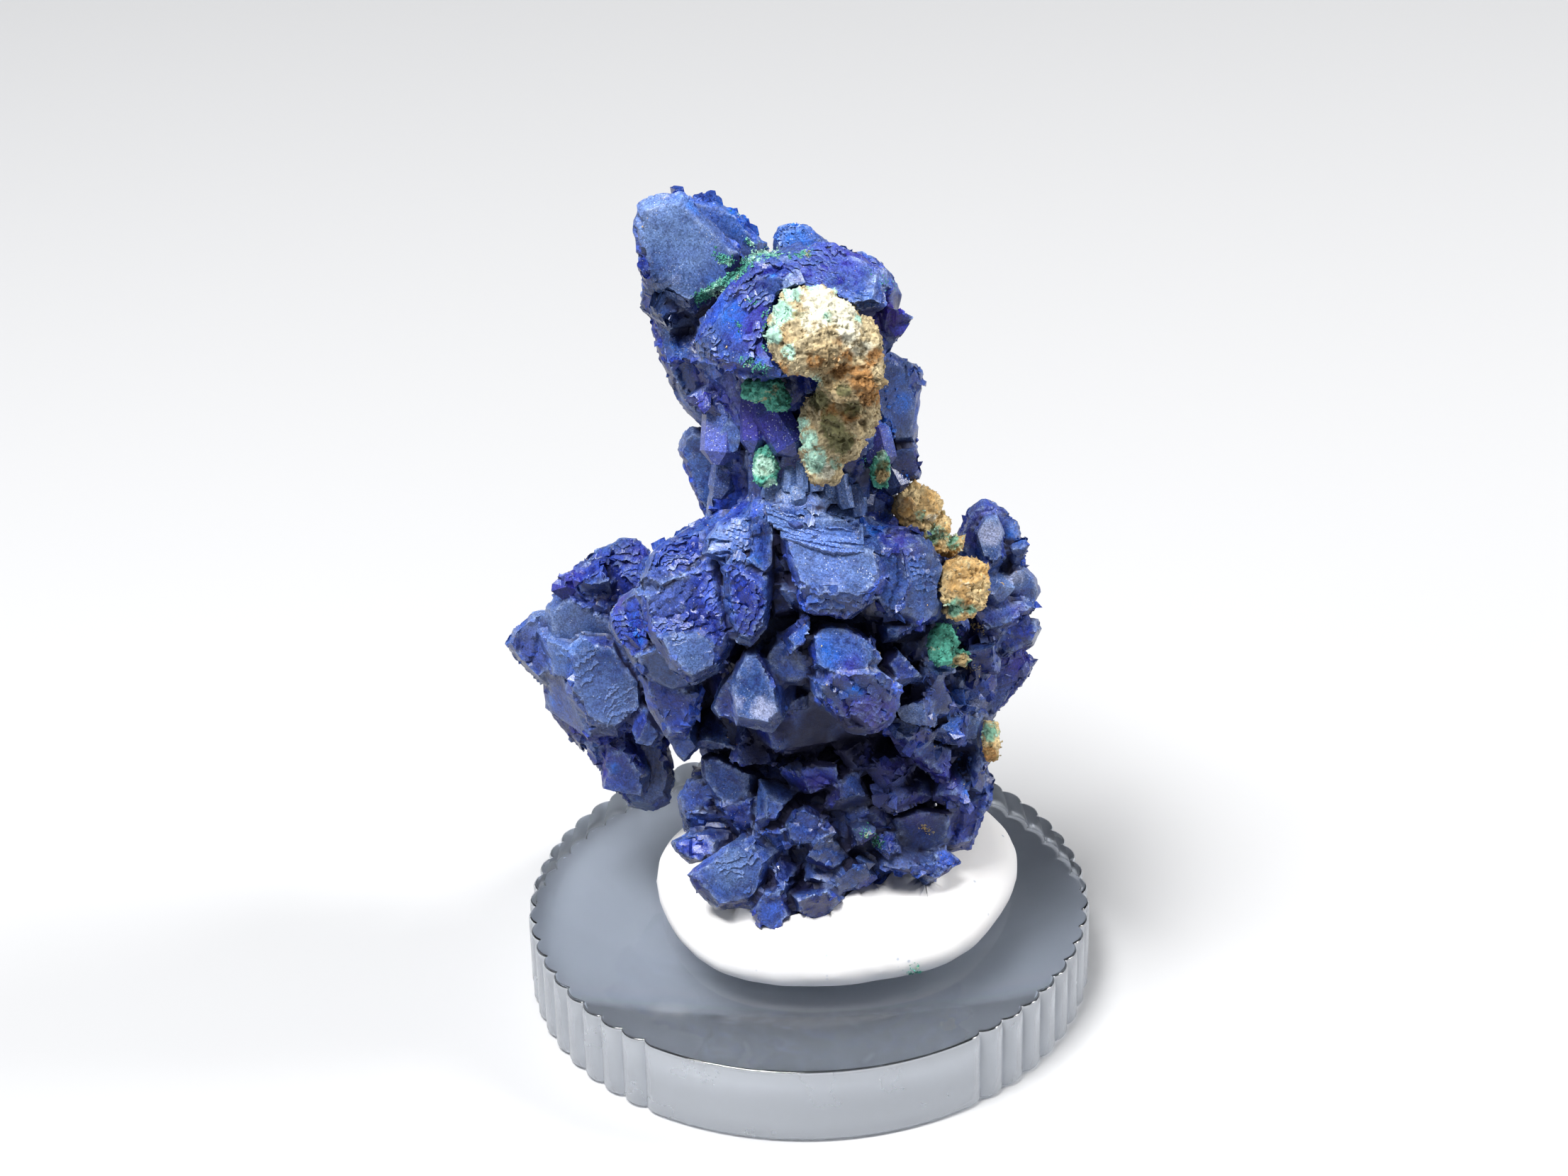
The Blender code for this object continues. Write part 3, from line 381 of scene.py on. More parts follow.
def facet_seen(across, up):
    """The number of the facet that the viewer sees at a place on the sheet, or None."""
    hit = crystal_tree.ray_cast(EYE, sight(across, up))
    return None if hit[0] is None else facet_of_face[hit[2]]


def surface_at(across, up):
    """The point of the crystals that the viewer sees at a place on the sheet, or None past their outline."""
    hit = crystal_tree.ray_cast(EYE, sight(across, up))[0]
    return None if hit is None else np.array(hit)


# %% Fine skin
SKIN_VOXEL = 0.165
SNAP = 0.55 * SKIN_VOXEL

azurite = as_object(crystal_bm, "azurite_crystals")
voxel_skin(azurite, SKIN_VOXEL)


def snapped(points):
    """Puts points of the skin back on the plain solid, and those close to a ridge on the ridge."""
    placed = np.empty_like(points)
    facet = np.empty(len(points), int)
    for i, p in enumerate(points):
        place, _, face, _ = crystal_tree.find_nearest(p)
        facet[i] = facet_of_face[face]
        ridge, _, away = ridge_tree.find(place)
        placed[i] = ridge if away < SNAP else place
    return placed, facet


skin, facet = snapped(points_of(azurite.data))
print("skin:", len(skin), "points")

# %% [markdown]
# ## Relief
#
# Azurite breaks and grows in steps.  Three kinds of relief are added along each facet's normal: ledges like a
# worn stair, small overlapping scales, and broken plates that tilt each its own way.  All three are numpy
# functions of place, so the whole skin is shaped in a second or two.

# %% Noise in numpy
def hashed(cell, seed):
    """A fixed random number from 0 to 1 for each whole-number cell."""
    n = (cell[:, 0] * 73856093) ^ (cell[:, 1] * 19349663) ^ (cell[:, 2] * 83492791) ^ (seed * 2654435761)
    n = (n ^ (n >> 13)) * 1274126177 & 0x7FFFFFFF
    n = (n ^ (n >> 16)) * 668265263 & 0x7FFFFFFF
    return ((n ^ (n >> 15)) & 0xFFFFFF) / 0xFFFFFF


CORNERS = [(i, j, k) for i in (0, 1) for j in (0, 1) for k in (0, 1)]
NEIGHBOURS = [(i, j, k) for i in (-1, 0, 1) for j in (-1, 0, 1) for k in (-1, 0, 1)]


def waves(points, size, seed):
    """Smooth noise from -1 to 1 with bumps about one size across."""
    place = points / size + 1000.0
    cell = np.floor(place).astype(np.int64)
    part = place - cell
    part = part * part * (3 - 2 * part)
    total = np.zeros(len(points))
    for corner in CORNERS:
        weight = np.prod(np.where(corner, part, 1 - part), axis=1)
        total += weight * hashed(cell + corner, seed)
    return 2 * total - 1


def rough_waves(points, size, seed, octaves=4):
    return sum(waves(points, size / 2 ** i, seed + i) / 2 ** i for i in range(octaves)) / 1.8


def plates(points, size, seed):
    """Broken plates: heights of about -1 to 1, each plate tilted its own way."""
    place = points / size + 1000.0
    cell = np.floor(place).astype(np.int64)
    nearest = np.full(len(points), 9.0)
    height = np.zeros(len(points))
    for shift in NEIGHBOURS:
        other = cell + shift
        centre = np.stack([hashed(other, seed + i) for i in range(3)], axis=1) + other
        tilt = np.stack([hashed(other, seed + 10 + i) for i in range(3)], axis=1) * 2 - 1
        offset = place - centre
        away = np.linalg.norm(offset, axis=1)
        lift = hashed(other, seed + 20) - 0.5
        height = np.where(away < nearest, (offset * tilt).sum(axis=1) + lift, height)
        nearest = np.minimum(nearest, away)
    return height


# %% [markdown]
# Each facet gets a weight for each finish, and a facet with only low weights is smooth.  A maker would look
# along the specimen and note which faces are smooth, scaly or stepped.  Those are named by a place on the
# sheet, and a fixed draw decides for all the others, also for the ones at the back.

# %% Where each finish goes
# Places on the sheet (across, up) whose facets are smooth, scaly or stepped.  All others are broken.
SMOOTH_AT = [(-8.4, 38.6), (-7.2, 37.4), (-8.8, 36.6), (-4.6, 38.3), (-1.0, 37.7), (2.0, 36.2), (3.2, 35.2),
             (-4.6, 26.8), (-3.2, 27.4), (-2.0, 26.8), (-6.6, 25.0), (5.2, 28.0), (5.6, 24.4), (1.4, 23.2),
             (-1.2, 23.0), (0.4, 19.4), (2.4, 18.6), (10.2, 20.6), (11.7, 18.2), (11.4, 16.8), (-6.4, 14.2),
             (-3.4, 13.2), (-1.2, 13.4), (5.9, 11.0), (6.6, 13.4), (-4.6, 1.6), (-13.2, 15.0), (-11.4, 11.4),
             (-2.6, 6.0), (1.6, 14.6), (6.2, 17.2)]
SCALY_AT = [(-7.0, 18.6), (-8.2, 16.8), (-9.6, 18.4), (-6.2, 19.8), (-8.0, 19.6), (-9.6, 15.6), (-6.0, 17.0),
            (-3.4, 17.4), (-4.2, 16.0)]
STEPPED_AT = [(-7.0, 33.0), (-8.2, 34.0), (-6.5, 31.6), (-4.0, 32.0), (0.0, 21.8), (2.2, 21.4), (-4.6, 21.4),
              (-8.4, 31.4), (-7.4, 29.4), (5.2, 18.4), (-3.8, 34.0), (2.4, 12.6), (-12.4, 12.6), (1.0, 17.2)]
SMALL_FACET = 1.2
BROKEN_RANGE = (0.35, 1.0)
STEPPED_RANGE = (0.3, 0.9)
STEPPED_SHARE = 0.4
CALM_SHARE = 0.3
CALM = 0.35
BROKEN_WHERE_LAYERED = 0.15
BROKEN_WHERE_SMOOTH = 0.12


def facets_at(places):
    return {facet_seen(*place) for place in places} - {None}


def facet_finishes():
    """How scaly, stepped and broken each facet is, from 0 to 1."""
    chance = np.random.default_rng(11)
    finish = {name: np.zeros(len(facet_area)) for name in ("scaly", "stepped", "broken")}
    count = len(facet_area)
    finish["broken"][:] = chance.uniform(*BROKEN_RANGE, count)
    stepped = chance.random(count) < STEPPED_SHARE
    finish["stepped"][:] = np.where(stepped, chance.uniform(*STEPPED_RANGE, count), 0.0)
    calm = chance.random(count) < CALM_SHARE
    finish["broken"][calm | (facet_area < SMALL_FACET)] *= CALM
    for name, places in (("scaly", SCALY_AT), ("stepped", STEPPED_AT)):
        for number in facets_at(places):
            finish[name][number] = 1.0
            finish["broken"][number] = BROKEN_WHERE_LAYERED
    for number in facets_at(SMOOTH_AT):
        finish["scaly"][number] = finish["stepped"][number] = 0.0
        finish["broken"][number] = BROKEN_WHERE_SMOOTH
    return finish


finish = facet_finishes()
print("facets by finish:", {name: int((weight > 0.5).sum()) for name, weight in finish.items()})

# %% [markdown]
# The relief is a height for each point, and each point moves along its facet's normal.  The ledges and scales
# are stairs bent by noise, and a few chips are taken out of the sharp edges, as on any real specimen.

# %% Shape the skin
LEDGE_PITCH = 1.15
LEDGE_DEPTH = 0.24
SCALE_PITCH = 0.55
SCALE_DEPTH = 0.13
PLATE_SIZES = ((1.5, 0.20), (0.62, 0.10))
CHIP_DEPTH = 0.28
CHIP_REACH = 0.5
SWELLS = ((2.0, 0.05, 61), (0.4, 0.012, 62))


def stair(along, warp, depth):
    """A worn stair: a slope that drops at each step."""
    step = along + warp
    return -depth * (step - np.floor(step)) ** 1.5


def relief(points, facet):
    """Height along the facet's normal, in millimetres."""
    side = np.cross(facet_normal, facet_grain)[facet]
    along = (points * side).sum(axis=1)
    warp = rough_waves(points, 2.6, 3)
    height = finish["stepped"][facet] * stair(along / LEDGE_PITCH, 1.1 * warp, LEDGE_DEPTH)
    fine_warp = rough_waves(points, 1.3, 9)
    along_grain = (points * facet_grain[facet]).sum(axis=1)
    height += finish["scaly"][facet] * stair(along_grain / SCALE_PITCH, 1.3 * fine_warp, SCALE_DEPTH)
    for i, (size, depth) in enumerate(PLATE_SIZES):
        tilted = plates(points + 0.25 * size * warp[:, None], size, 40 + 7 * i)
        height += finish["broken"][facet] * depth * tilted
    height += sum(depth * waves(points, size, seed) for size, depth, seed in SWELLS)
    ridge = distance_to(ridge_tree, points)
    chipped = np.clip(waves(points, 1.1, 71) * 2.2 - 0.5, 0, 1) * np.clip(1 - ridge / CHIP_REACH, 0, 1)
    height -= CHIP_DEPTH * chipped * (0.35 + 0.65 * finish["broken"][facet])
    return height


height = relief(skin, facet)
skin += facet_normal[facet] * height[:, None]
set_points(azurite.data, skin)
print("relief from", round(height.min(), 2), "to", round(height.max(), 2), "mm")

# %% [markdown]
# The skin has more triangles than it needs.  A Decimate modifier spends them where the surface bends, so the
# flat facets get few and the ledges keep theirs.

# %% Thin out the skin
TRIANGLES = 192000
SHADING_ANGLE = math.radians(32)

thin = azurite.modifiers.new("thin", "DECIMATE")
thin.ratio = TRIANGLES / triangle_count(azurite.data)
apply_modifiers(azurite)
azurite.data.shade_smooth()
azurite.data.set_sharp_from_angle(angle=SHADING_ANGLE)
print("thinned to", len(azurite.data.polygons), "faces")

# %% [markdown]
# ## What the colour needs to know
#
# The same blue looks grey on a smooth face, violet where light comes through a thin broken edge, and almost
# black in a gap; the grey is a painted sheen and the black a painted shade.  The mesh carries these facts as
# attributes: the tone of each facet, the ridges, the gaps found by sending out rays, and the places of violet,
# bright azure, white frosting and painted grey sheen.  A few places get a painted shadow, darker than the rays
# say, so their places are noted too.

# %% Skin attributes
GAP_REACH = 5.0
RAYS = 18
RAY_START = 0.15
FAR_HIT = 0.6
FACET_TONE_SEED = 5
RIDGE_WIDTH = 0.16
PAINTED_SHADOW_DEPTH = 0.7

skin = points_of(azurite.data)
normals = normals_of(azurite.data)


def hemisphere(count):
    """Directions spread evenly over the half sphere around +Z, more of them near the pole."""
    found = []
    for i in range(count):
        up = math.sqrt((i + 0.5) / count)
        turn = i * math.pi * (3 - math.sqrt(5))
        out = math.sqrt(1 - up * up)
        found.append((out * math.cos(turn), out * math.sin(turn), up))
    return np.array(found)


def openness(points, normals):
    """The share of rays from each point that leave the crystals free: 1 on a peak and 0 in a deep gap."""
    rays = hemisphere(RAYS)
    side = np.cross(normals, np.where(np.abs(normals[:, 2:]) < 0.9, [[0.0, 0.0, 1.0]], [[1.0, 0.0, 0.0]]))
    side /= np.linalg.norm(side, axis=1)[:, None]
    other = np.cross(normals, side)
    start = points + normals * RAY_START
    free = np.zeros(len(points))
    for x, y, z in rays:
        ways = side * x + other * y + normals * z
        for i in range(len(points)):
            hit = crystal_tree.ray_cast(start[i], ways[i], GAP_REACH)
            free[i] += 1.0 if hit[0] is None else FAR_HIT * hit[3] / GAP_REACH
    return free / RAYS


def spots(points, places, soft=0.6):
    """How much each point lies in one of some patches: places hold across, up, radius and strength."""
    total = np.zeros(len(points))
    for across, up, radius, strength in places:
        centre = surface_at(across, up)
        if centre is None:
            print("no crystal at", (across, up))
            continue
        away = np.linalg.norm(points - centre, axis=1) / radius
        total = np.maximum(total, strength * np.clip((1 - away) / soft, 0, 1))
    return total


# Across, up, radius and strength of each patch.
VIOLET_AT = [(4.2, 33.0, 2.0, 1.0), (2.0, 36.2, 2.4, 0.7), (-3.4, 35.0, 1.8, 0.6), (-2.8, 32.4, 2.2, 0.6),
             (-5.2, 28.8, 2.6, 0.8), (-2.0, 26.6, 1.4, 0.5), (5.6, 24.4, 1.6, 0.5), (9.6, 16.2, 1.8, 0.6),
             (9.2, 21.4, 1.8, 0.8), (3.4, 10.6, 2.2, 0.9), (5.0, 8.0, 2.4, 0.8), (0.6, 6.4, 1.6, 0.7),
             (11.6, 13.4, 1.8, 0.8), (5.4, 20.4, 1.6, 0.8), (-10.8, 16.8, 1.0, 0.9), (-13.8, 18.2, 1.4, 0.7),
             (-9.7, 20.0, 1.2, 0.7), (6.0, 5.6, 2.6, 0.7), (2.2, 12.6, 1.6, 0.6), (-12.0, 8.6, 2.6, 0.6),
             (11.6, 16.8, 1.4, 0.5), (-6.6, 1.0, 1.4, 0.6), (8.0, 7.0, 2.0, 0.7), (0.4, 35.4, 2.0, 0.5)]
AZURE_AT = [(-5.6, 30.0, 1.0, 0.7), (-7.4, 31.4, 0.8, 0.7), (6.2, 27.4, 0.8, 0.9), (5.6, 29.6, 0.7, 0.7),
            (-14.0, 13.6, 1.6, 0.5), (-12.4, 8.6, 1.2, 0.5), (2.6, 11.8, 0.8, 0.7), (4.6, 15.0, 0.7, 0.6),
            (-1.0, 37.8, 1.5, 0.8), (-4.0, 38.8, 1.6, 0.7), (-2.6, 37.2, 1.1, 0.9), (-6.8, 39.6, 1.0, 0.8),
            (-3.1, 19.1, 0.55, 1.0), (4.0, 27.0, 1.0, 0.9), (5.4, 28.2, 0.9, 0.8), (-2.0, 35.4, 0.35, 1.0),
            (-2.9, 30.4, 0.4, 0.9), (-4.0, 31.9, 0.4, 0.8), (3.6, 21.0, 0.8, 0.8), (8.0, 10.0, 0.9, 0.7),
            (8.6, 11.4, 0.9, 0.6), (5.0, 6.4, 1.2, 0.5), (8.9, 7.6, 0.9, 0.8), (9.0, 6.2, 0.8, 0.8),
            (11.8, 20.6, 0.9, 0.8), (-14.6, 11.3, 0.6, 0.9), (-13.2, 17.8, 0.5, 0.9), (-11.1, 7.5, 0.6, 0.8),
            (-9.9, 16.1, 0.3, 1.0), (-9.6, 14.6, 0.3, 0.9), (-7.0, 28.2, 0.7, 0.8), (-5.2, 34.9, 0.6, 0.8),
            (4.2, 10.5, 0.4, 0.8), (1.2, 13.6, 0.9, 0.5), (0.4, 15.0, 1.1, 0.5), (-4.4, 33.2, 1.2, 0.5),
            (5.8, 18.6, 0.7, 0.6), (3.2, 34.2, 0.5, 0.3), (6.4, 8.4, 0.7, 0.6)]
FROST_AT = [(-6.6, 32.0, 1.6, 0.7), (-5.2, 28.2, 1.4, 0.6), (-7.6, 35.2, 1.0, 0.7), (7.6, 9.4, 1.4, 0.6),
            (-2.6, 10.8, 1.3, 1.0), (-3.9, 11.2, 1.0, 0.8), (11.7, 18.2, 1.1, 0.9), (10.3, 20.7, 1.3, 1.0),
            (0.9, 23.2, 1.0, 0.7), (-0.9, 23.0, 0.9, 0.7), (4.2, 35.6, 1.0, 0.7), (4.2, 34.6, 0.6, 0.7),
            (9.5, 11.0, 0.7, 0.9), (5.9, 10.4, 0.7, 0.7), (-8.4, 39.6, 0.9, 0.5), (-5.6, 37.6, 0.6, 0.5),
            (-1.0, 15.0, 0.5, 0.6), (8.4, 15.6, 0.6, 0.8), (1.6, 19.4, 1.1, 0.5), (3.4, 18.4, 0.8, 0.5),
            (4.0, 27.0, 0.7, 0.7), (-6.6, 33.6, 0.5, 0.6), (-8.0, 34.0, 0.4, 0.5), (5.2, 16.2, 0.7, 0.4)]
# Places whose colour gets a painted grey sheen.
PAINTED_SHEEN_AT = [(10.2, 21.2, 1.2, 1.0), (11.6, 18.0, 1.2, 1.0), (9.4, 10.6, 1.2, 0.6), (6.6, 13.4, 1.0, 0.5),
            (-6.6, 32.6, 1.8, 0.5), (-5.4, 29.6, 1.8, 0.4), (-8.2, 34.2, 1.2, 0.5), (-4.6, 26.4, 1.2, 0.4),
            (-8.6, 38.6, 2.6, 1.0), (-6.8, 37.0, 2.4, 0.9), (-7.4, 35.2, 1.6, 0.6), (0.9, 23.4, 1.3, 0.9),
            (-1.0, 23.2, 1.1, 0.9), (1.2, 21.8, 1.6, 0.7), (10.4, 20.6, 1.3, 0.8), (11.7, 18.2, 1.0, 0.7),
            (0.4, 19.6, 2.2, 0.6), (2.6, 18.8, 1.8, 0.6), (-2.6, 10.8, 1.3, 0.6), (-4.4, 1.8, 1.8, 0.6),
            (-14.4, 15.0, 3.4, 0.6), (-12.0, 11.0, 3.2, 0.5), (-6.8, 14.0, 1.8, 0.6), (5.2, 12.0, 1.2, 0.5),
            (-1.4, 37.6, 1.2, 0.5), (4.2, 35.2, 0.9, 0.6), (-8.6, 17.6, 2.6, 0.4), (5.8, 10.6, 0.9, 0.6),
            (-5.2, 21.0, 1.4, 0.5), (-8.2, 6.0, 2.0, 0.4)]
# Places that get a painted shadow on top of the painted shade of the gaps.
PAINTED_SHADOW_AT = [(0.4, 10.0, 2.0, 1.0), (2.2, 9.8, 1.8, 1.0), (-1.4, 9.6, 1.4, 1.0), (3.8, 9.0, 1.4, 0.8),
            (0.0, 8.8, 2.2, 1.0), (2.4, 8.6, 2.0, 1.0), (4.6, 6.0, 3.4, 0.7), (7.4, 5.4, 3.0, 0.7),
            (1.8, 5.4, 2.4, 0.6), (-3.0, 8.4, 1.6, 0.9), (2.6, 3.2, 2.2, 0.6), (9.4, 8.4, 1.6, 0.5),
            (-9.6, 9.2, 1.4, 0.7), (3.4, 24.0, 1.0, 0.9), (-1.6, 20.0, 0.8, 0.8), (5.0, 22.6, 1.2, 0.6),
            (0.0, 12.2, 0.8, 0.9), (-4.9, 13.0, 0.6, 0.9), (6.4, 14.6, 0.9, 0.8), (-3.6, 28.4, 1.0, 0.6),
            (5.4, 2.2, 2.0, 0.6), (-6.6, 26.4, 1.6, 0.5)]


plain, facet = snapped(skin)
ridge = distance_to(ridge_tree, skin)
# The open share is cut at the painted-shadow places, so these take more of the gaps' painted shade.
free = openness(plain, facet_normal[facet]) * (1 - PAINTED_SHADOW_DEPTH * spots(skin, PAINTED_SHADOW_AT))
tone = np.random.default_rng(FACET_TONE_SEED).random(len(facet_area))
side = np.cross(facet_normal, facet_grain)
set_facts(azurite.data, tone=tone[facet], ridge=np.exp(-(ridge / RIDGE_WIDTH) ** 2), open=free,
          stripe=(skin * side[facet]).sum(axis=1), rough=np.maximum(finish["broken"], finish["scaly"])[facet],
          violet=spots(skin, VIOLET_AT), azure=spots(skin, AZURE_AT), frost=spots(skin, FROST_AT),
          bloom=spots(skin, PAINTED_SHEEN_AT))
print("open share: mean", round(free.mean(), 2), "least", round(free.min(), 2))

# %% [markdown]
# ## Shader groups
#
# Stone, putty and plastic share a few effects: a fine grain that breaks up a flat colour, and pale dust that
# settles where the surface is open.  Each is a node group with named inputs, built once and placed in each
# material with its own numbers.  The groups read Object coordinates, so nothing slides when the view turns.

# %% Node helpers
def feed(tree, made, inputs):
    """Sets a node's inputs to numbers, or links them to sockets."""
    for name, value in inputs.items():
        socket = made.inputs[name]
        if isinstance(value, bpy.types.NodeSocket):
            tree.links.new(value, socket)
        else:
            socket.default_value = value


def node(tree, kind, inputs=None, **settings):
    """A new node with its settings and inputs."""
    made = tree.nodes.new(kind)
    for name, value in settings.items():
        setattr(made, name, value)
    feed(tree, made, inputs or {})
    return made


def mixed(tree, factor, first, second, blend="MIX"):
    """One colour over another."""
    return node(tree, "ShaderNodeMix", {0: factor, 6: first, 7: second}, data_type="RGBA",
                blend_type=blend).outputs[2]


def maths(tree, operation, first, second=0.5, clamp=False):
    return node(tree, "ShaderNodeMath", {0: first, 1: second}, operation=operation, use_clamp=clamp).outputs[0]


def product(tree, first, second):
    return maths(tree, "MULTIPLY", first, second)


def plus(tree, first, second, clamp=False):
    return maths(tree, "ADD", first, second, clamp)


def ranged(tree, value, low, high, to_low=0.0, to_high=1.0):
    made = node(tree, "ShaderNodeMapRange", {"Value": value, "From Min": low, "From Max": high,
                                             "To Min": to_low, "To Max": to_high})
    return made.outputs["Result"]


def attribute(tree, name):
    return node(tree, "ShaderNodeAttribute", attribute_name=name).outputs["Fac"]


def object_place(tree):
    return node(tree, "ShaderNodeTexCoord").outputs["Object"]


def upward(tree):
    """1 where the surface looks straight up, and -1 where it looks straight down."""
    normal = node(tree, "ShaderNodeNewGeometry").outputs["Normal"]
    return node(tree, "ShaderNodeSeparateXYZ", {"Vector": normal}).outputs["Z"]


def ramp(tree, value, stops):
    """Colours along a value: stops are (position, (red, green, blue))."""
    made = node(tree, "ShaderNodeValToRGB", {"Fac": value})
    band = made.color_ramp
    while len(band.elements) < len(stops):
        band.elements.new(0.5)
    for element, (position, colour) in zip(band.elements, stops):
        element.position = position
        element.color = (*colour, 1.0)
    return made.outputs["Color"]


def colour(red, green, blue):
    return (red, green, blue, 1.0)


def new_group(name, inputs, outputs, kind_of_tree="ShaderNodeTree"):
    """An empty node group; inputs are (name, kind, default) and outputs are (name, kind)."""
    group = bpy.data.node_groups.new(name, kind_of_tree)
    for label, kind, default in inputs:
        socket = group.interface.new_socket(label, in_out="INPUT", socket_type=f"NodeSocket{kind}")
        if default is not None:
            socket.default_value = default
    for label, kind in outputs:
        group.interface.new_socket(label, in_out="OUTPUT", socket_type=f"NodeSocket{kind}")
    return group, node(group, "NodeGroupInput").outputs, node(group, "NodeGroupOutput").inputs


# %% Group: fine grain
def make_grain_group():
    """A mottle from 0 to 1 and a height for a Bump node, at a size in millimetres."""
    group, given, out = new_group("fine_grain", [("Size", "Float", 0.3), ("Seed", "Float", 0.0)],
                                  [("Mottle", "Float"), ("Height", "Float")])
    scale = maths(group, "DIVIDE", 1 / MM, given["Size"])
    layers = []
    for finer, detail in ((0.4, 5.0), (2.2, 2.0)):
        layers.append(node(group, "ShaderNodeTexNoise", {
            "Vector": object_place(group), "Scale": product(group, scale, finer), "W": given["Seed"],
            "Detail": detail}, noise_dimensions="4D").outputs["Fac"])
    group.links.new(ranged(group, layers[0], 0.32, 0.68), out["Mottle"])
    group.links.new(plus(group, product(group, layers[0], 0.7), product(group, layers[1], 0.3)), out["Height"])
    return group


# %% Group: specks of pale dust
def make_dust_group():
    """A mask of tiny specks, more of them where Amount is high and the surface looks up."""
    group, given, out = new_group("pale_dust", [("Size", "Float", 0.12), ("Amount", "Float", 0.3)],
                                  [("Mask", "Float")])
    scale = maths(group, "DIVIDE", 1 / MM, given["Size"])
    specks = node(group, "ShaderNodeTexVoronoi", {"Vector": object_place(group), "Scale": scale,
                                                  "Randomness": 1.0})
    chance = node(group, "ShaderNodeSeparateColor", {"Color": specks.outputs["Color"]}).outputs["Red"]
    chosen = maths(group, "LESS_THAN", chance, given["Amount"])
    round_speck = ranged(group, specks.outputs["Distance"], 0.42, 0.18)
    lit = ranged(group, upward(group), -0.5, 0.5, 0.35, 1.0)
    group.links.new(product(group, product(group, chosen, round_speck), lit), out["Mask"])
    return group


grain_group = make_grain_group()
dust_group = make_dust_group()


def grain(tree, size, seed):
    return node(tree, "ShaderNodeGroup", {"Size": size, "Seed": seed}, node_tree=grain_group).outputs


def dust(tree, size, amount):
    return node(tree, "ShaderNodeGroup", {"Size": size, "Amount": amount}, node_tree=dust_group).outputs["Mask"]


def new_material(name):
    material = bpy.data.materials.new(name)
    material.use_nodes = True
    tree = material.node_tree
    return material, tree, tree.nodes["Principled BSDF"]


def bumps(tree, *layers):
    """Bumps laid over each other.  Each has a strength, a distance in millimetres and a height."""
    below = {}
    for strength, distance, height in layers:
        made = node(tree, "ShaderNodeBump", {"Strength": strength, "Distance": distance * MM, "Height": height,
                                             **below})
        below = {"Normal": made.outputs["Normal"]}
    return below["Normal"]


print("groups:", [group.name for group in bpy.data.node_groups])

# %% [markdown]
# ## Azurite
#
# Azurite is a deep blue mineral with a glassy shine.  On this specimen a painted grey sheen lies on the smooth
# faces and on faces that look up, the broken parts turn violet, thin bits let bright azure light through, and
# painted shade darkens the undersides and makes the gaps nearly black.  The material lays these over each other
# in that order, and its bump holds only what is finer than the mesh: stripes along the facet, tiny broken plates
# and grain.

# %% Azurite material
AZURITE_INDEX = 1.6
POLISH = 0.36
SLATE_STOPS = ((0.0, (0.007, 0.021, 0.115)), (0.5, (0.027, 0.074, 0.270)), (1.0, (0.085, 0.180, 0.50)))
ROYAL_STOPS = ((0.0, (0.001, 0.004, 0.125)), (0.5, (0.007, 0.029, 0.360)), (1.0, (0.034, 0.130, 0.72)))
VIOLET = colour(0.032, 0.010, 0.32)
BRIGHT_AZURE = colour(0.012, 0.18, 0.85)
PALE_EDGE = colour(0.25, 0.35, 0.62)
PAINTED_SHEEN_COLOUR = colour(0.155, 0.25, 0.50)
FROST_AND_GLINT = colour(0.62, 0.68, 0.80)
HAZE = colour(0.46, 0.50, 0.74)
GAP_SHADE_COLOUR = colour(0.003, 0.004, 0.034)
DEEP = colour(0.006, 0.010, 0.110)
SPECK_SIZE = 0.075
STRIPES_PER_MM = 5.5


def voronoi_shade(tree, size):
    """A random number for each grain of a size in millimetres."""
    made = node(tree, "ShaderNodeTexVoronoi", {"Vector": object_place(tree), "Scale": 1 / (size * MM)})
    return node(tree, "ShaderNodeSeparateColor", {"Color": made.outputs["Color"]}).outputs["Green"]


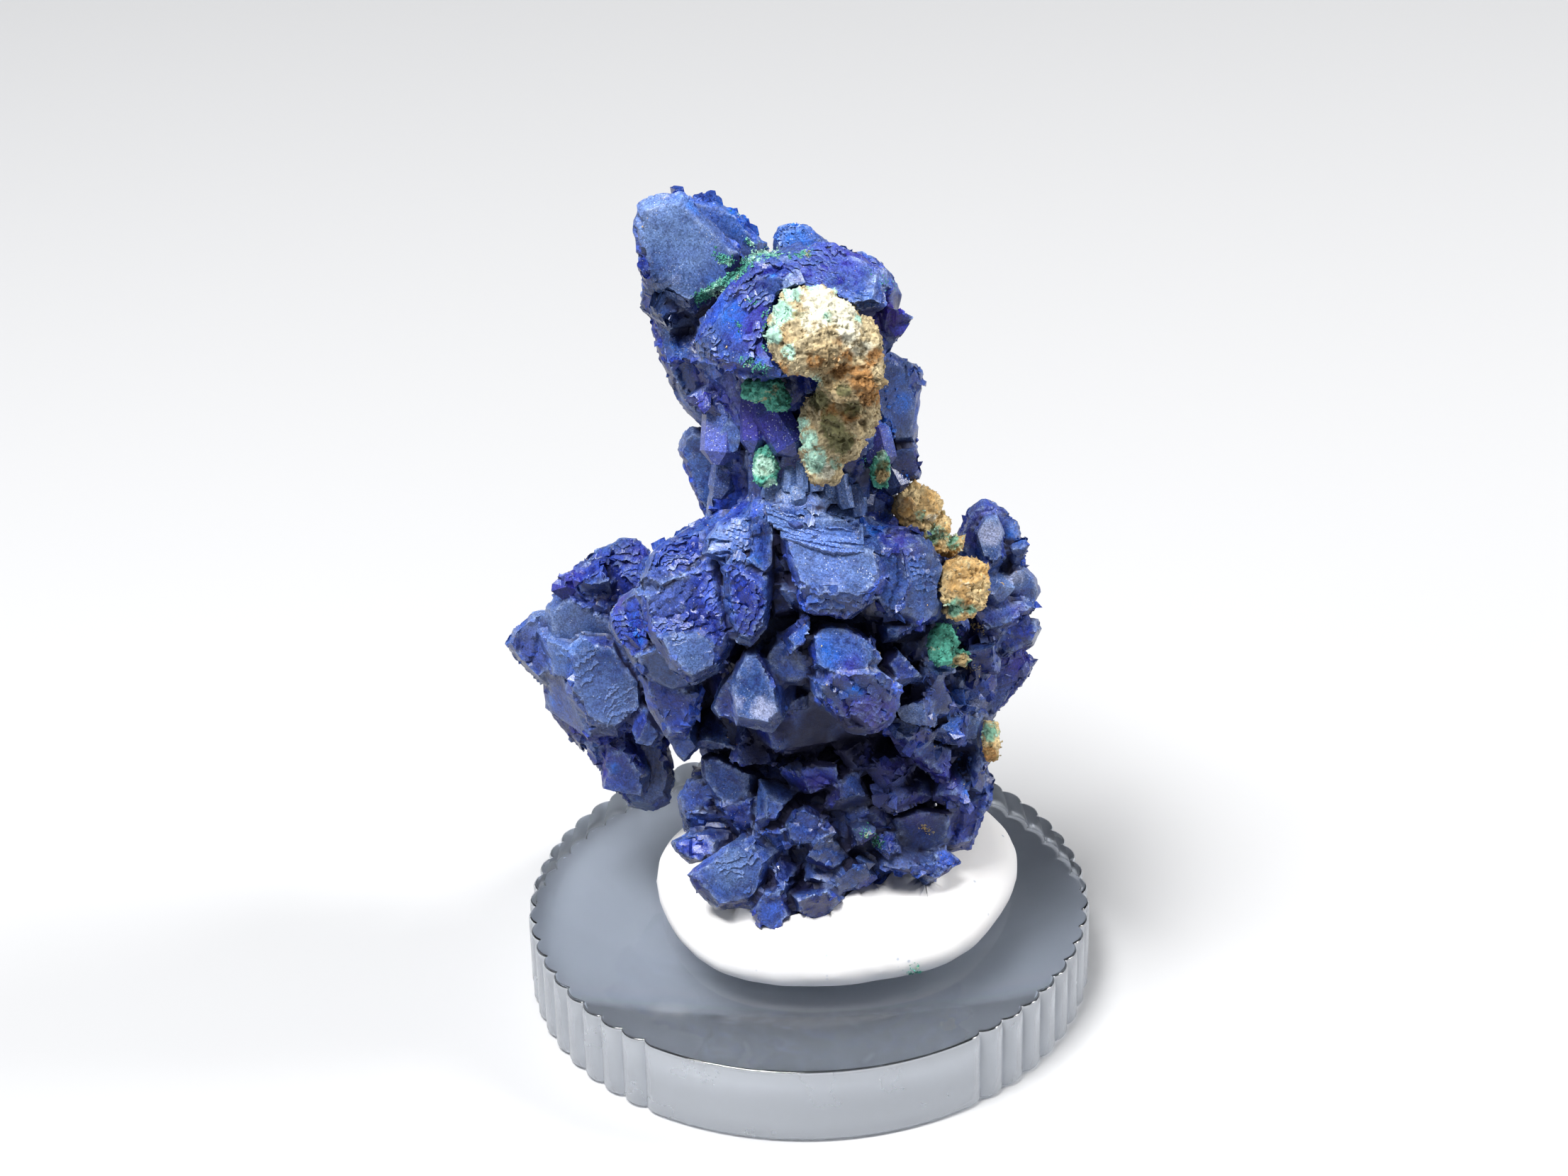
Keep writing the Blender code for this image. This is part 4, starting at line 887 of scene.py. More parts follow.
def azurite_colour(tree, mottle, fine, dot, gap_shade_mask):
    """The stone's colours, laid over each other from the plain blue to the painted shade of the gaps."""
    frost, up = attribute(tree, "frost"), upward(tree)
    tone = plus(tree, product(tree, attribute(tree, "tone"), 0.45), product(tree, mottle["Mottle"], 0.55))
    wild = plus(tree, attribute(tree, "rough"), product(tree, mottle["Mottle"], 0.5))
    slate, royal = ramp(tree, tone, SLATE_STOPS), ramp(tree, tone, ROYAL_STOPS)
    stone = mixed(tree, ranged(tree, wild, 0.25, 1.05), slate, royal)
    stone = mixed(tree, ranged(tree, fine["Mottle"], 0.35, 0.95, 0.0, 0.75), stone, DEEP)

    patchy = ranged(tree, mottle["Mottle"], 0.25, 0.75, 0.35, 1.0)
    stone = mixed(tree, product(tree, attribute(tree, "violet"), patchy), stone, VIOLET)
    rich = ranged(tree, fine["Mottle"], 0.2, 0.8, 0.2, 1.0)
    stone = mixed(tree, product(tree, attribute(tree, "azure"), rich), stone, BRIGHT_AZURE)

    # Painted sheen: a grey film on faces that look up and at the noted places stands in for the lamp's
    # reflection.
    top_sheen = product(tree, ranged(tree, up, 0.0, 0.9, 0.0, 0.22), ranged(tree, fine["Height"], 0.60, 0.42))
    bloom = product(tree, attribute(tree, "bloom"), ranged(tree, fine["Height"], 0.70, 0.35, 0.35, 0.95))
    stone = mixed(tree, maths(tree, "MAXIMUM", top_sheen, bloom), stone, PAINTED_SHEEN_COLOUR)
    # Pale ridges: partly wear, partly a painted highlight where the thin edges catch the light.
    ridge_wear_and_highlight = product(tree, attribute(tree, "ridge"), ranged(tree, fine["Mottle"], 0.3, 0.9, 0.1, 0.9))
    stone = mixed(tree, ridge_wear_and_highlight, stone, PALE_EDGE)

    # White specks: frost at the noted places, and a thin spread everywhere that is a painted glint.
    frost_and_glint_specks = dust(tree, 0.09, ranged(tree, frost, 0.0, 1.0, 0.025, 0.60))
    frost_and_glint_specks = product(tree, frost_and_glint_specks, ranged(tree, mottle["Height"], 0.35, 0.6, 0.2, 0.9))
    stone = mixed(tree, frost_and_glint_specks, stone, FROST_AND_GLINT)
    haze = ranged(tree, fine["Height"], 0.70, 0.35, 0.25, 1.0)
    haze = product(tree, ranged(tree, frost, 0.65, 0.95, 0.0, 0.9), haze)
    stone = mixed(tree, haze, stone, HAZE)

    # Painted shade: faces that look down keep as little as 0.3 of their colour, and random specks vary it too.
    shade = product(tree, ranged(tree, up, -0.8, 0.5, 0.30, 1.0), ranged(tree, dot, 0.0, 1.0, 0.55, 1.35))
    stone = mixed(tree, 1.0, stone, shade, blend="MULTIPLY")
    # Painted shade: the colour goes nearly black where the rays find the crystals closed in.
    return mixed(tree, gap_shade_mask, stone, GAP_SHADE_COLOUR)


def make_azurite():
    material, tree, shader = new_material("azurite_stone")
    mottle = grain(tree, 0.9, 1.0)
    fine = grain(tree, 0.14, 4.0)
    dot = voronoi_shade(tree, SPECK_SIZE)
    # The gap mask carries the painted shade of the gaps, and it also makes them rougher.
    gap_shade_mask = ranged(tree, attribute(tree, "open"), 0.72, 0.22)
    gloss = ranged(tree, mottle["Mottle"], 0.0, 1.0, 0.12, 0.40)
    gloss = plus(tree, gloss, product(tree, gap_shade_mask, 0.4), clamp=True)
    rough = product(tree, attribute(tree, "rough"), 0.5)
    stripes = node(tree, "ShaderNodeTexNoise", {"W": product(tree, attribute(tree, "stripe"), STRIPES_PER_MM),
                                                "Scale": 1.0, "Detail": 5.0}, noise_dimensions="1D")
    patchy = ranged(tree, mottle["Mottle"], 0.25, 0.75, 0.05, 0.30)
    normal = bumps(tree, (patchy, 0.10, stripes.outputs["Fac"]),
                   (product(tree, rough, 1.2), 0.10, voronoi_shade(tree, 0.30)),
                   (plus(tree, rough, 0.1), 0.06, voronoi_shade(tree, 0.16)),
                   (0.5, 0.03, dot), (0.8, 0.06, fine["Height"]))
    feed(tree, shader, {"Base Color": azurite_colour(tree, mottle, fine, dot, gap_shade_mask), "Roughness": gloss,
                        "IOR": AZURITE_INDEX, "Specular IOR Level": POLISH, "Normal": normal})
    return material


azurite_stone = make_azurite()
finish_piece(azurite, "azurite", azurite_stone, "azurite_cluster")

# %% [markdown]
# ## Shards
#
# Between the big crystals lie hundreds of small shards, too many to place by hand.  Geometry Nodes set a small
# template on each of many points.  The points carry the way the surface faces, the way it runs, a size, and
# the facts that the azurite material needs, and all of these reach the copies.

# %% Templates
def gem(name, corners, flat, seed):
    """A closed shard: the hull of some random points, flattened to a share of its width."""
    dice = np.random.default_rng(seed)
    bm = bmesh.new()
    for _ in range(corners):
        way = dice.normal(size=3)
        way /= np.linalg.norm(way)
        bm.verts.new((way * dice.uniform(0.40, 0.55) * (1.0, 0.8, flat)).tolist())
    bmesh.ops.convex_hull(bm, input=bm.verts)
    bmesh.ops.delete(bm, geom=[v for v in bm.verts if not v.link_faces], context="VERTS")
    bmesh.ops.recalc_face_normals(bm, faces=bm.faces)
    return as_object(bm, name)


def template_set(name, made):
    """A collection of templates, out of the scene, for a Collection Info node."""
    group = bpy.data.collections.new(name)
    for template in made:
        bpy.context.scene.collection.objects.unlink(template)
        group.objects.link(template)
    return group


shards = template_set("shards", [gem(f"shard_{i}", 9, 0.62, 500 + i) for i in range(6)])
crumbs = template_set("crumbs", [gem(f"crumb_{i}", 7, 0.85, 540 + i) for i in range(4)])

# %% [markdown]
# The tree turns each copy upright on its point, lets it run along the surface, and shakes it by a random
# amount.  It ends by making the copies real, so that the result is a plain mesh.

# %% The scatter tree
TREE_INPUTS = [("Geometry", "Geometry", None), ("Templates", "Collection", None), ("Loose Turn", "Float", 0.0),
               ("Seed", "Int", 1)]
SMALLEST, LARGEST = 0.6, 1.2


def make_scatter_tree():
    tree, given, out = new_group("set_on_points", TREE_INPUTS, [("Geometry", "Geometry")], "GeometryNodeTree")
    facing, running, size = (
        node(tree, "GeometryNodeInputNamedAttribute", {"Name": label}, data_type=kind).outputs["Attribute"]
        for label, kind in (("facing", "FLOAT_VECTOR"), ("running", "FLOAT_VECTOR"), ("size", "FLOAT")))
    upright = node(tree, "FunctionNodeAlignRotationToVector", {"Vector": facing}, axis="Z")
    along = node(tree, "FunctionNodeAlignRotationToVector", {
        "Rotation": upright.outputs["Rotation"], "Vector": running}, axis="X", pivot_axis="Z")
    back, swing = (
        node(tree, "ShaderNodeVectorMath", {0: (sign, sign, sign), "Scale": given["Loose Turn"]},
             operation="SCALE").outputs[0] for sign in (-1.0, 1.0))
    turn = node(tree, "FunctionNodeRandomValue", {"Min": back, "Max": swing, "Seed": given["Seed"]},
                data_type="FLOAT_VECTOR")
    shaken = node(tree, "FunctionNodeEulerToRotation", {"Euler": turn.outputs["Value"]})
    turned = node(tree, "FunctionNodeRotateRotation", {
        "Rotation": along.outputs["Rotation"], "Rotate By": shaken.outputs["Rotation"]}, rotation_space="LOCAL")
    vary = node(tree, "FunctionNodeRandomValue", {2: SMALLEST, 3: LARGEST, "Seed": given["Seed"]},
                data_type="FLOAT")
    scale = product(tree, size, vary.outputs[1])
    source = node(tree, "GeometryNodeCollectionInfo", {
        "Collection": given["Templates"], "Separate Children": True, "Reset Children": True})
    pick = node(tree, "FunctionNodeRandomValue", {4: 0, 5: 99, "Seed": given["Seed"]}, data_type="INT")
    cloud = node(tree, "GeometryNodeMeshToPoints", {"Mesh": given["Geometry"]})
    copies = node(tree, "GeometryNodeInstanceOnPoints", {
        "Points": cloud.outputs["Points"], "Instance": source.outputs["Instances"], "Pick Instance": True,
        "Instance Index": pick.outputs[2], "Rotation": turned.outputs["Rotation"], "Scale": scale})
    real = node(tree, "GeometryNodeRealizeInstances", {"Geometry": copies.outputs["Instances"]})
    tree.links.new(real.outputs["Geometry"], out["Geometry"])
    return tree


scatter_tree = make_scatter_tree()


def set_vectors(mesh, name, values):
    made = mesh.attributes.new(name, "FLOAT_VECTOR", "POINT")
    made.data.foreach_set("vector", values.astype(np.float32).ravel())


def scatter(name, places, facing, running, size, facts, **inputs):
    """A plain mesh of templates set on points.  facts are more attributes, one number for each point."""
    mesh = bpy.data.meshes.new(name)
    mesh.from_pydata(places.tolist(), [], [])
    set_vectors(mesh, "facing", facing)
    set_vectors(mesh, "running", running)
    set_facts(mesh, size=size, **facts)
    made = new_object(name, mesh)
    modifier = made.modifiers.new("set_on_points", "NODES")
    modifier.node_group = scatter_tree
    sockets = {item.name: item.identifier for item in scatter_tree.interface.items_tree
               if item.in_out == "INPUT"}
    for label, value in inputs.items():
        modifier[sockets[label.replace("_", " ")]] = value
    apply_modifiers(made).data.shade_flat()
    return made


print("scatter inputs:", [label for label, _, _ in TREE_INPUTS[1:]])

# %% [markdown]
# The points come from the skin itself.  The chance that a point of the skin gets a shard depends on how broken
# its facet is, so smooth faces stay bare.

# %% Choose points of the skin
FACTS = ("tone", "open", "violet", "azure", "frost", "rough", "bloom")
STRIPE_SPREAD = 40


def read_attribute(mesh, name):
    values = np.empty(len(mesh.vertices), np.float32)
    mesh.attributes[name].data.foreach_get("value", values)
    return values.astype(float)


facts = {name: read_attribute(azurite.data, name) for name in FACTS}


def near(places, radius):
    """1 at each of some places on the sheet, falling to 0 at the radius."""
    return spots(skin, [(across, up, radius, 1.0) for across, up in places], soft=1.0)


def choose(count, chance, seed):
    """Numbers of skin points, drawn without repeats by their chance."""
    dice = np.random.default_rng(seed)
    weight = np.clip(chance, 0, None)
    count = min(count, int((weight > 0).sum()))
    return dice.choice(len(weight), count, replace=False, p=weight / weight.sum())


def spaced(chosen, gap):
    """Keeps the first point in each cell of a grid with this gap."""
    kept = {}
    for i in chosen:
        kept.setdefault(tuple(np.floor(skin[i] / gap).astype(int)), i)
    return np.array(list(kept.values()))


def cover(name, numbers, size, running, seed, lift, own=(), **inputs):
    """Shards on skin points.  They take the facts of the skin under them, apart from a few of their own."""
    dice = np.random.default_rng(seed)
    carried = {label: facts[label][numbers] for label in FACTS}
    carried["tone"] = np.clip(carried["tone"] * 0.8 + dice.random(len(numbers)) * 0.3, 0, 1)
    carried["open"] = np.clip(carried["open"] * 1.1 + 0.05, 0, 1)
    carried["ridge"] = dice.random(len(numbers)) ** 3 * 0.6
    carried["stripe"] = dice.random(len(numbers)) * STRIPE_SPREAD
    carried.update(own)
    places = skin[numbers] + normals[numbers] * lift
    finish_piece(scatter(name, places, normals[numbers], running, size, carried, Templates=shards, Seed=seed,
                         **inputs), "azurite", azurite_stone)


# %% Shards between the crystals
SHARD_DRAWS = 2600
SHARD_GAP = 0.55
SHARD_SIZE = 1.35
SHARD_SUNK = 0.14
SHARDS_BEHIND = 0.04
RUBBLE_AT = [(9.4, 11.6), (8.4, 9.6), (6.4, 8.4), (4.6, 9.6), (2.8, 10.8), (8.0, 7.4), (9.2, 6.4), (4.4, 6.2),
             (11.4, 13.4), (11.2, 15.4), (9.8, 17.0), (12.0, 19.2), (6.0, 20.6), (5.0, 15.4), (3.6, 20.8),
             (-9.4, 8.6), (-7.0, 30.4), (-6.0, 28.4), (-8.2, 32.4), (4.4, 32.8), (5.4, 30.6), (-4.6, 29.0),
             (-13.6, 18.0), (-11.4, 19.2), (-9.6, 13.4), (-6.4, 10.4), (-2.6, 3.6), (2.6, 2.6), (5.4, 2.6)]
SMOOTH_CREST_AT = [(-7.4, 39.5)]
rubble = near(RUBBLE_AT, 2.4)
behind = (skin - skin.mean(axis=0)) @ FORWARD_ROW > 0
broken = facts["rough"] * (0.25 + rubble) * (facts["open"] > 0.25)
chosen = spaced(choose(SHARD_DRAWS, broken ** 1.5 + SHARDS_BEHIND * behind * facts["rough"], 600), SHARD_GAP)
dice = np.random.default_rng(601)
size = dice.uniform(0.35, 1.0, len(chosen)) ** 1.6 * SHARD_SIZE * (0.7 + 0.6 * rubble[chosen])
size *= 1 - 0.75 * near(SMOOTH_CREST_AT, 2.4)[chosen]
cover("azurite_shards", chosen, size, dice.normal(size=(len(chosen), 3)), 602, -SHARD_SUNK, Loose_Turn=0.9)

# %% [markdown]
# In a few sheltered spots azurite grows as nests of fine needles, so thin that light makes them bright azure.
# They are the same shards, much smaller, crowded together and all given the same strong azure.

# %% Azure needles
# Across, up, radius and number of needles of each nest.
NEEDLE_NESTS = [(4.0, 26.8, 1.0, 420), (4.6, 28.3, 0.7, 160), (3.4, 27.8, 0.5, 90), (-1.2, 38.0, 0.9, 60),
                (8.9, 7.8, 0.6, 60), (5.2, 23.9, 0.5, 50), (-9.8, 15.4, 0.5, 40)]
NEEDLE_SIZES = (0.12, 0.42)
NEEDLE_AZURE = 0.85
NEEDLE_LIFT = 0.02

dice = np.random.default_rng(630)
numbers = []
for across, up, radius, count in NEEDLE_NESTS:
    nest = np.flatnonzero((near([(across, up)], radius) > 0.02) & (facts["open"] > 0.2))
    numbers += dice.choice(nest, min(count, len(nest)), replace=False).tolist()
numbers = np.array(numbers)
size = dice.uniform(*NEEDLE_SIZES, len(numbers))
cover("azurite_needles", numbers, size, dice.normal(size=(len(numbers), 3)), 631, NEEDLE_LIFT,
      own={"azure": NEEDLE_AZURE}, Loose_Turn=1.2)

# %% [markdown]
# Many faces are built of long thin layers, each a little shorter than the one below, like worn roof tiles.  A
# ledge here is a wedge with a sharp lip that runs across one facet.  Rays dropped onto the facet find its
# surface, a wavy line gives the lip its way, and random breaks make it ragged.

# %% Ledges across a facet
LEDGE_STEP = 0.12
LEDGE_BREAK = 0.07
LEDGE_SINK = 0.07
LEDGE_BARE = -0.12
SHORTEST_RUN = 5
RAY_HEIGHT = 1.2
TURNED_AWAY = 0.55

skin_tree = tree_of(skin)


def drop(point, normal):
    """The place on the crystals under a point, or None where the surface turns away."""
    hit = crystal_tree.ray_cast(point + normal * RAY_HEIGHT, -normal, 2 * RAY_HEIGHT)
    return None if hit[0] is None or np.dot(hit[1], normal) < TURNED_AWAY else np.array(hit[0])


def facet_axes(number, turn):
    """The ways along and down a facet.  Down is the viewer's down, turned by some degrees."""
    normal = facet_normal[number]
    down = -UP_ROW + normal * np.dot(UP_ROW, normal)
    down /= np.linalg.norm(down) + 1e-9
    along = np.cross(normal, down)
    turn = math.radians(turn)
    return along * math.cos(turn) + down * math.sin(turn), down * math.cos(turn) - along * math.sin(turn)


def ledge_run(run, down, normal, width, rise, dice):
    """One ledge: three points (tail, lip, root) for each place along its lip."""
    swell = np.sin(np.linspace(0.15, math.pi - 0.15, len(run))) ** 0.5
    jag = dice.normal(0, 0.05, len(run))
    made = []
    for i, place in enumerate(run):
        lip = place + normal * rise * (0.35 + 0.65 * swell[i]) + down * jag[i]
        tail = place - down * width * (0.5 + 0.5 * swell[i]) - normal * LEDGE_SINK
        made += [tail, lip, place - normal * LEDGE_SINK - down * 0.04]
    return made


def ledges_on(number, pitch, rise, wave, turn, seed):
    """All ledges of one facet, each a list of points.  The facet's number is part of the seed."""
    dice = np.random.default_rng(seed + 7 * int(number))
    normal = facet_normal[number]
    along, down = facet_axes(number, turn)
    corners = np.array([vert.co for face in facet_members[number] for vert in face.verts])
    centre = corners.mean(axis=0)
    u, v = (corners - centre) @ along, (corners - centre) @ down
    found = []
    steps = np.arange(u.min(), u.max(), LEDGE_STEP)
    for row in np.arange(v.min() + 0.5 * pitch, v.max(), pitch):
        lines = centre + along * steps[:, None]
        bend = wave * (rough_waves(lines + down * row, 1.4, seed, 4)
                       + 0.25 * waves(lines + down * row * 2.1, 0.4, seed + 9)) + dice.normal(0, 0.12) * pitch
        places = lines + down * (row + bend)[:, None]
        there = rough_waves(places, 1.5, seed + 30, 3) > LEDGE_BARE
        run = []
        for i, place in enumerate(places):
            hit = drop(place, normal) if dice.random() > LEDGE_BREAK and there[i] else None
            if hit is not None:
                run.append(hit)
            if (hit is None or i == len(places) - 1) and run:
                if len(run) >= SHORTEST_RUN:
                    found.append(ledge_run(run, down, normal, pitch * dice.uniform(1.1, 1.7),
                                           rise * dice.uniform(0.25, 1.2), dice))
                run = []
    return found


# %% [markdown]
# Which facets are layered is known from the front.  Each is named by a place on the sheet, with the pitch and
# the height of its ledges.  Every second of the largest facets at the back gets some too.

# %% Ledge piece
# How pale the ledges' lips are: partly wear, partly a painted highlight.
LIP_WEAR_AND_HIGHLIGHT = 0.55


def make_ledges(name, runs, seed):
    """One mesh of closed wedges, with the facts of the skin under them."""
    dice = np.random.default_rng(seed)
    corners, faces, tone, edge = [], [], [], []
    for run in runs:
        start, count = len(corners), len(run) // 3
        corners += run
        tone += [dice.random()] * len(run)
        edge += [0.0, LIP_WEAR_AND_HIGHLIGHT, 0.0] * count
        for i in range(count - 1):
            a = start + 3 * i
            for j in range(3):
                k = (j + 1) % 3
                faces.append((a + j, a + k, a + 3 + k, a + 3 + j))
        last = start + 3 * (count - 1)
        faces += [(start + 2, start + 1, start), (last, last + 1, last + 2)]
    made = closed_piece(name, corners, faces)
    tone = np.array(tone)
    under = np.array([skin_tree.find(c)[1] for c in corners])
    carried = {label: facts[label][under] for label in FACTS}
    carried["tone"] = tone * 0.4 + carried["tone"] * 0.6
    set_facts(made.data, ridge=edge, stripe=tone * STRIPE_SPREAD, **carried)
    return made


# Places on the sheet, with the ledges' pitch, rise, waviness and turn in degrees.
LAYERED = [((-8.2, 17.6), 0.24, 0.045, 0.60, -28), ((-6.2, 18.6), 0.24, 0.045, 0.60, -40),
           ((-9.8, 16.4), 0.26, 0.05, 0.6, -20), ((-8.0, 19.8), 0.26, 0.05, 0.6, -30),
           ((0.2, 21.8), 0.30, 0.15, 0.22, 16), ((2.4, 21.4), 0.30, 0.15, 0.22, 24),
           ((-1.4, 22.2), 0.30, 0.13, 0.22, 10), ((1.0, 17.0), 0.36, 0.14, 0.6, 4),
           ((3.0, 16.6), 0.36, 0.14, 0.6, -8), ((-7.2, 33.0), 0.30, 0.09, 0.5, 18),
           ((-6.4, 31.2), 0.3, 0.09, 0.5, 18), ((-8.6, 34.4), 0.30, 0.08, 0.5, 12),
           ((-4.0, 32.2), 0.28, 0.09, 0.5, -18), ((2.4, 12.6), 0.32, 0.10, 0.6, 26),
           ((4.6, 14.0), 0.34, 0.09, 0.6, -20), ((-4.6, 21.4), 0.3, 0.06, 0.4, 20),
           ((6.0, 17.6), 0.32, 0.10, 0.6, -12), ((-12.6, 13.0), 0.34, 0.08, 0.7, -30),
           ((-12.6, 17.0), 0.34, 0.08, 0.7, 20), ((3.4, 34.4), 0.30, 0.07, 0.5, 30),
           ((-4.0, 1.6), 0.3, 0.07, 0.5, -20), ((-3.4, 17.0), 0.30, 0.05, 0.5, -55),
           ((-5.4, 27.6), 0.34, 0.08, 0.5, 40), ((5.6, 29.4), 0.34, 0.08, 0.5, 10),
           ((9.6, 15.8), 0.34, 0.09, 0.6, 25), ((-9.4, 11.4), 0.36, 0.08, 0.6, -35)]
REAR_LARGEST = 14
REAR_FACING = 0.15
REAR_LEDGES = (0.45, 0.10, 0.7, 20)

chosen = {}
for place, *numbers in LAYERED:
    seen_facet = facet_seen(*place)
    if seen_facet is not None and seen_facet not in chosen:
        chosen[seen_facet] = numbers
faces_away = facet_normal @ FORWARD_ROW > REAR_FACING
for number in np.argsort(-facet_area * faces_away)[:REAR_LARGEST][::2]:
    chosen.setdefault(number, REAR_LEDGES)
runs = [run for number, numbers in chosen.items() for run in ledges_on(number, *numbers, 620)]
finish_piece(make_ledges("azurite_ledges", runs, 621), "azurite", azurite_stone)
print(len(chosen), "layered facets,", len(runs), "ledges")

# %% [markdown]
# The waist is the part of the specimen that shows its growth best: ten bright thin plates fan out below a row
# of small blocks.  The plates are few and each has its own place, so they are built one by one, as bars with
# four corners at each step.  A plane laid through the crystals' surface there says how far forward they stand.

# %% Waist plates
PLATES = 10
PLATE_DROP = 0.25
PLATE_FORWARD = 0.17
PLATE_THICK = 0.15
PLATE_BACK = 1.5
PLATE_STEPS = 46
PLATE_PROUD = 0.12
PLATE_FAN = 0.35
WAIST_FACTS = {"open": 0.8, "violet": 0.15, "azure": 0.1, "frost": 0.45, "rough": 0.25, "bloom": 0.65,
               "ridge": 0.1}


def forward_plane(across_range, up_range):
    """Numbers a, b, c so that the surface stands a + b * across + c * up in front of the base's middle."""
    rows, fronts = [], []
    for across in np.linspace(*across_range, 12):
        for up in np.linspace(*up_range, 8):
            hit = surface_at(across, up)
            if hit is not None:
                rows.append((1.0, across, up))
                fronts.append(-hit[1])
    rows = np.array(rows)
    fit = np.linalg.lstsq(rows, np.array(fronts), rcond=None)[0]
    spread = np.std(rows @ fit - fronts)
    print("the waist's plane is", [round(f, 2) for f in fit], "and the surface is", round(spread, 2), "mm off")
    return fit


def plate_lip(k, share, dice):
    """The sheet place of plate k's lip at a share of its length, from its left end."""
    across = -2.65 + 0.10 * abs(k - 3) + share * (6.1 - 0.06 * k)
    up = 22.95 - PLATE_DROP * k - 1.05 * share - 0.30 * math.sin(math.pi * share)
    return across + dice.normal(0, 0.02), up + dice.normal(0, 0.028) + 0.06 * math.sin(9 * share + 2 * k)


def waist_plate(k, plane, seed):
    """Four points (lip top, lip foot, back foot, back top) at each place along plate k."""
    dice = np.random.default_rng(seed + k)
    points = []
    lean = dice.uniform(-0.06, 0.14)
    first, last = dice.uniform(0.0, 0.14), dice.uniform(0.72, 1.0)
    stand = PLATE_PROUD + lean + PLATE_FORWARD * (k - PLATES / 3) * PLATE_FAN
    for share in np.linspace(0, 1, PLATE_STEPS):
        across, up = plate_lip(k, first + (last - first) * share, dice)
        swell = math.sin(math.pi * min(max(share, 0.03), 0.97)) ** 0.35
        front = plane @ (1.0, across, up) + stand + 0.3 * (swell - 1)
        lip = np.array(seen(across, up, front))
        back = lip + np.array((0.0, PLATE_BACK, 0.35))
        thick = np.array((0.0, 0.03, -PLATE_THICK * (0.5 + 0.5 * swell)))
        points += [lip, lip + thick, back + thick, back]
    return points


def sweep(points, sides):
    """Faces that join rings of some number of sides into one closed bar."""
    rings = len(points) // sides
    faces = [(sides * i + j, sides * i + (j + 1) % sides, sides * (i + 1) + (j + 1) % sides, sides * (i + 1) + j)
             for i in range(rings - 1) for j in range(sides)]
    last = sides * (rings - 1)
    return faces + [tuple(range(sides - 1, -1, -1)), tuple(last + j for j in range(sides))]


def place_waist():
    plane = forward_plane((-2.2, 3.0), (20.8, 23.6))
    dice = np.random.default_rng(640)
    points, faces, tone = [], [], []
    for k in range(PLATES):
        found = waist_plate(k, plane, 641)
        faces += [tuple(i + len(points) for i in face) for face in sweep(found, 4)]
        points += found
        tone += [dice.uniform(0.3, 1.0)] * len(found)
    made = closed_piece("azurite_waist", points, faces)
    set_facts(made.data, tone=tone, stripe=np.array(points)[:, 0], **WAIST_FACTS)
    return made


finish_piece(place_waist(), "azurite", azurite_stone)

# %% [markdown]
# A few small crystals also have a place of their own: the bright blocks on top of the waist, the violet ones
# below the green tuft, and dark ones beside the right bud.  Each is the convex hull of a six-sided ring, taken
# at four heights.

# %% Small crystals with a place of their own
# Across, up, width, height, lean in degrees, how far they stand out, how blunt the tips are, violet, painted
# sheen.
SMALL_CRYSTALS = [
    (-1.9, 23.2, 1.3, 1.3, 30, 0.25, 0.80, 0.1, 1.0), (-1.1, 23.9, 0.8, 1.5, 6, 0.35, 0.85, 0.0, 1.0),
    (-0.4, 24.0, 0.7, 1.7, -4, 0.45, 0.85, 0.0, 1.0), (0.4, 24.1, 0.8, 1.8, -6, 0.45, 0.85, 0.0, 1.0),
    (1.2, 23.7, 0.9, 1.8, -8, 0.40, 0.85, 0.0, 0.9), (2.0, 23.1, 0.9, 1.8, -12, 0.35, 0.85, 0.1, 0.7),
    (2.7, 22.6, 0.8, 1.7, -12, 0.30, 0.85, 0.3, 0.5), (-0.6, 22.9, 1.5, 0.8, 80, 0.30, 0.80, 0.0, 0.9),
    (-4.9, 26.9, 2.2, 4.2, 6, 0.20, 0.30, 0.7, 0.3), (-3.2, 27.4, 1.4, 3.8, -2, 0.40, 0.30, 0.9, 0.1),
    (-1.7, 26.9, 2.0, 3.6, -32, 0.70, 0.25, 0.9, 0.2), (-4.6, 24.6, 1.8, 3.6, 12, 0.10, 0.45, 0.3, 0.3),
    (4.6, 24.0, 1.7, 2.0, -20, 0.30, 0.5, 0.5, 0.3), (3.6, 22.2, 1.5, 1.6, 10, 0.20, 0.5, 0.4, 0.3),
    (3.8, 25.9, 1.9, 2.6, -10, -0.10, 0.5, 0.8, 0.1)]
# The height of each ring as a share of the crystal's, and how much of its width is kept there.
RINGS = ((-0.5, 0.0), (-0.34, 1.0), (0.26, 1.0), (0.5, 0.0))


def crystal_points(middle, width, height, lean, blunt, dice):
    """Four six-sided rings around an upright axis that leans in the sheet."""
    lean = math.radians(lean)
    out = -FORWARD_ROW
    axis = UP_ROW * math.cos(lean) + RIGHT_ROW * math.sin(lean)
    side = np.cross(axis, out)
    found = []
    for rise, full in RINGS:
        share = blunt + (1 - blunt) * full
        shift = dice.uniform(-0.06, 0.06) * width
        for i in range(6):
            turn = math.radians(60 * i + 14) + dice.uniform(-0.12, 0.12)
            ring = side * (math.cos(turn) * width / 2 * share + shift)
            found.append(middle + axis * rise * height + ring + out * math.sin(turn) * width * 0.4 * share)
    return found


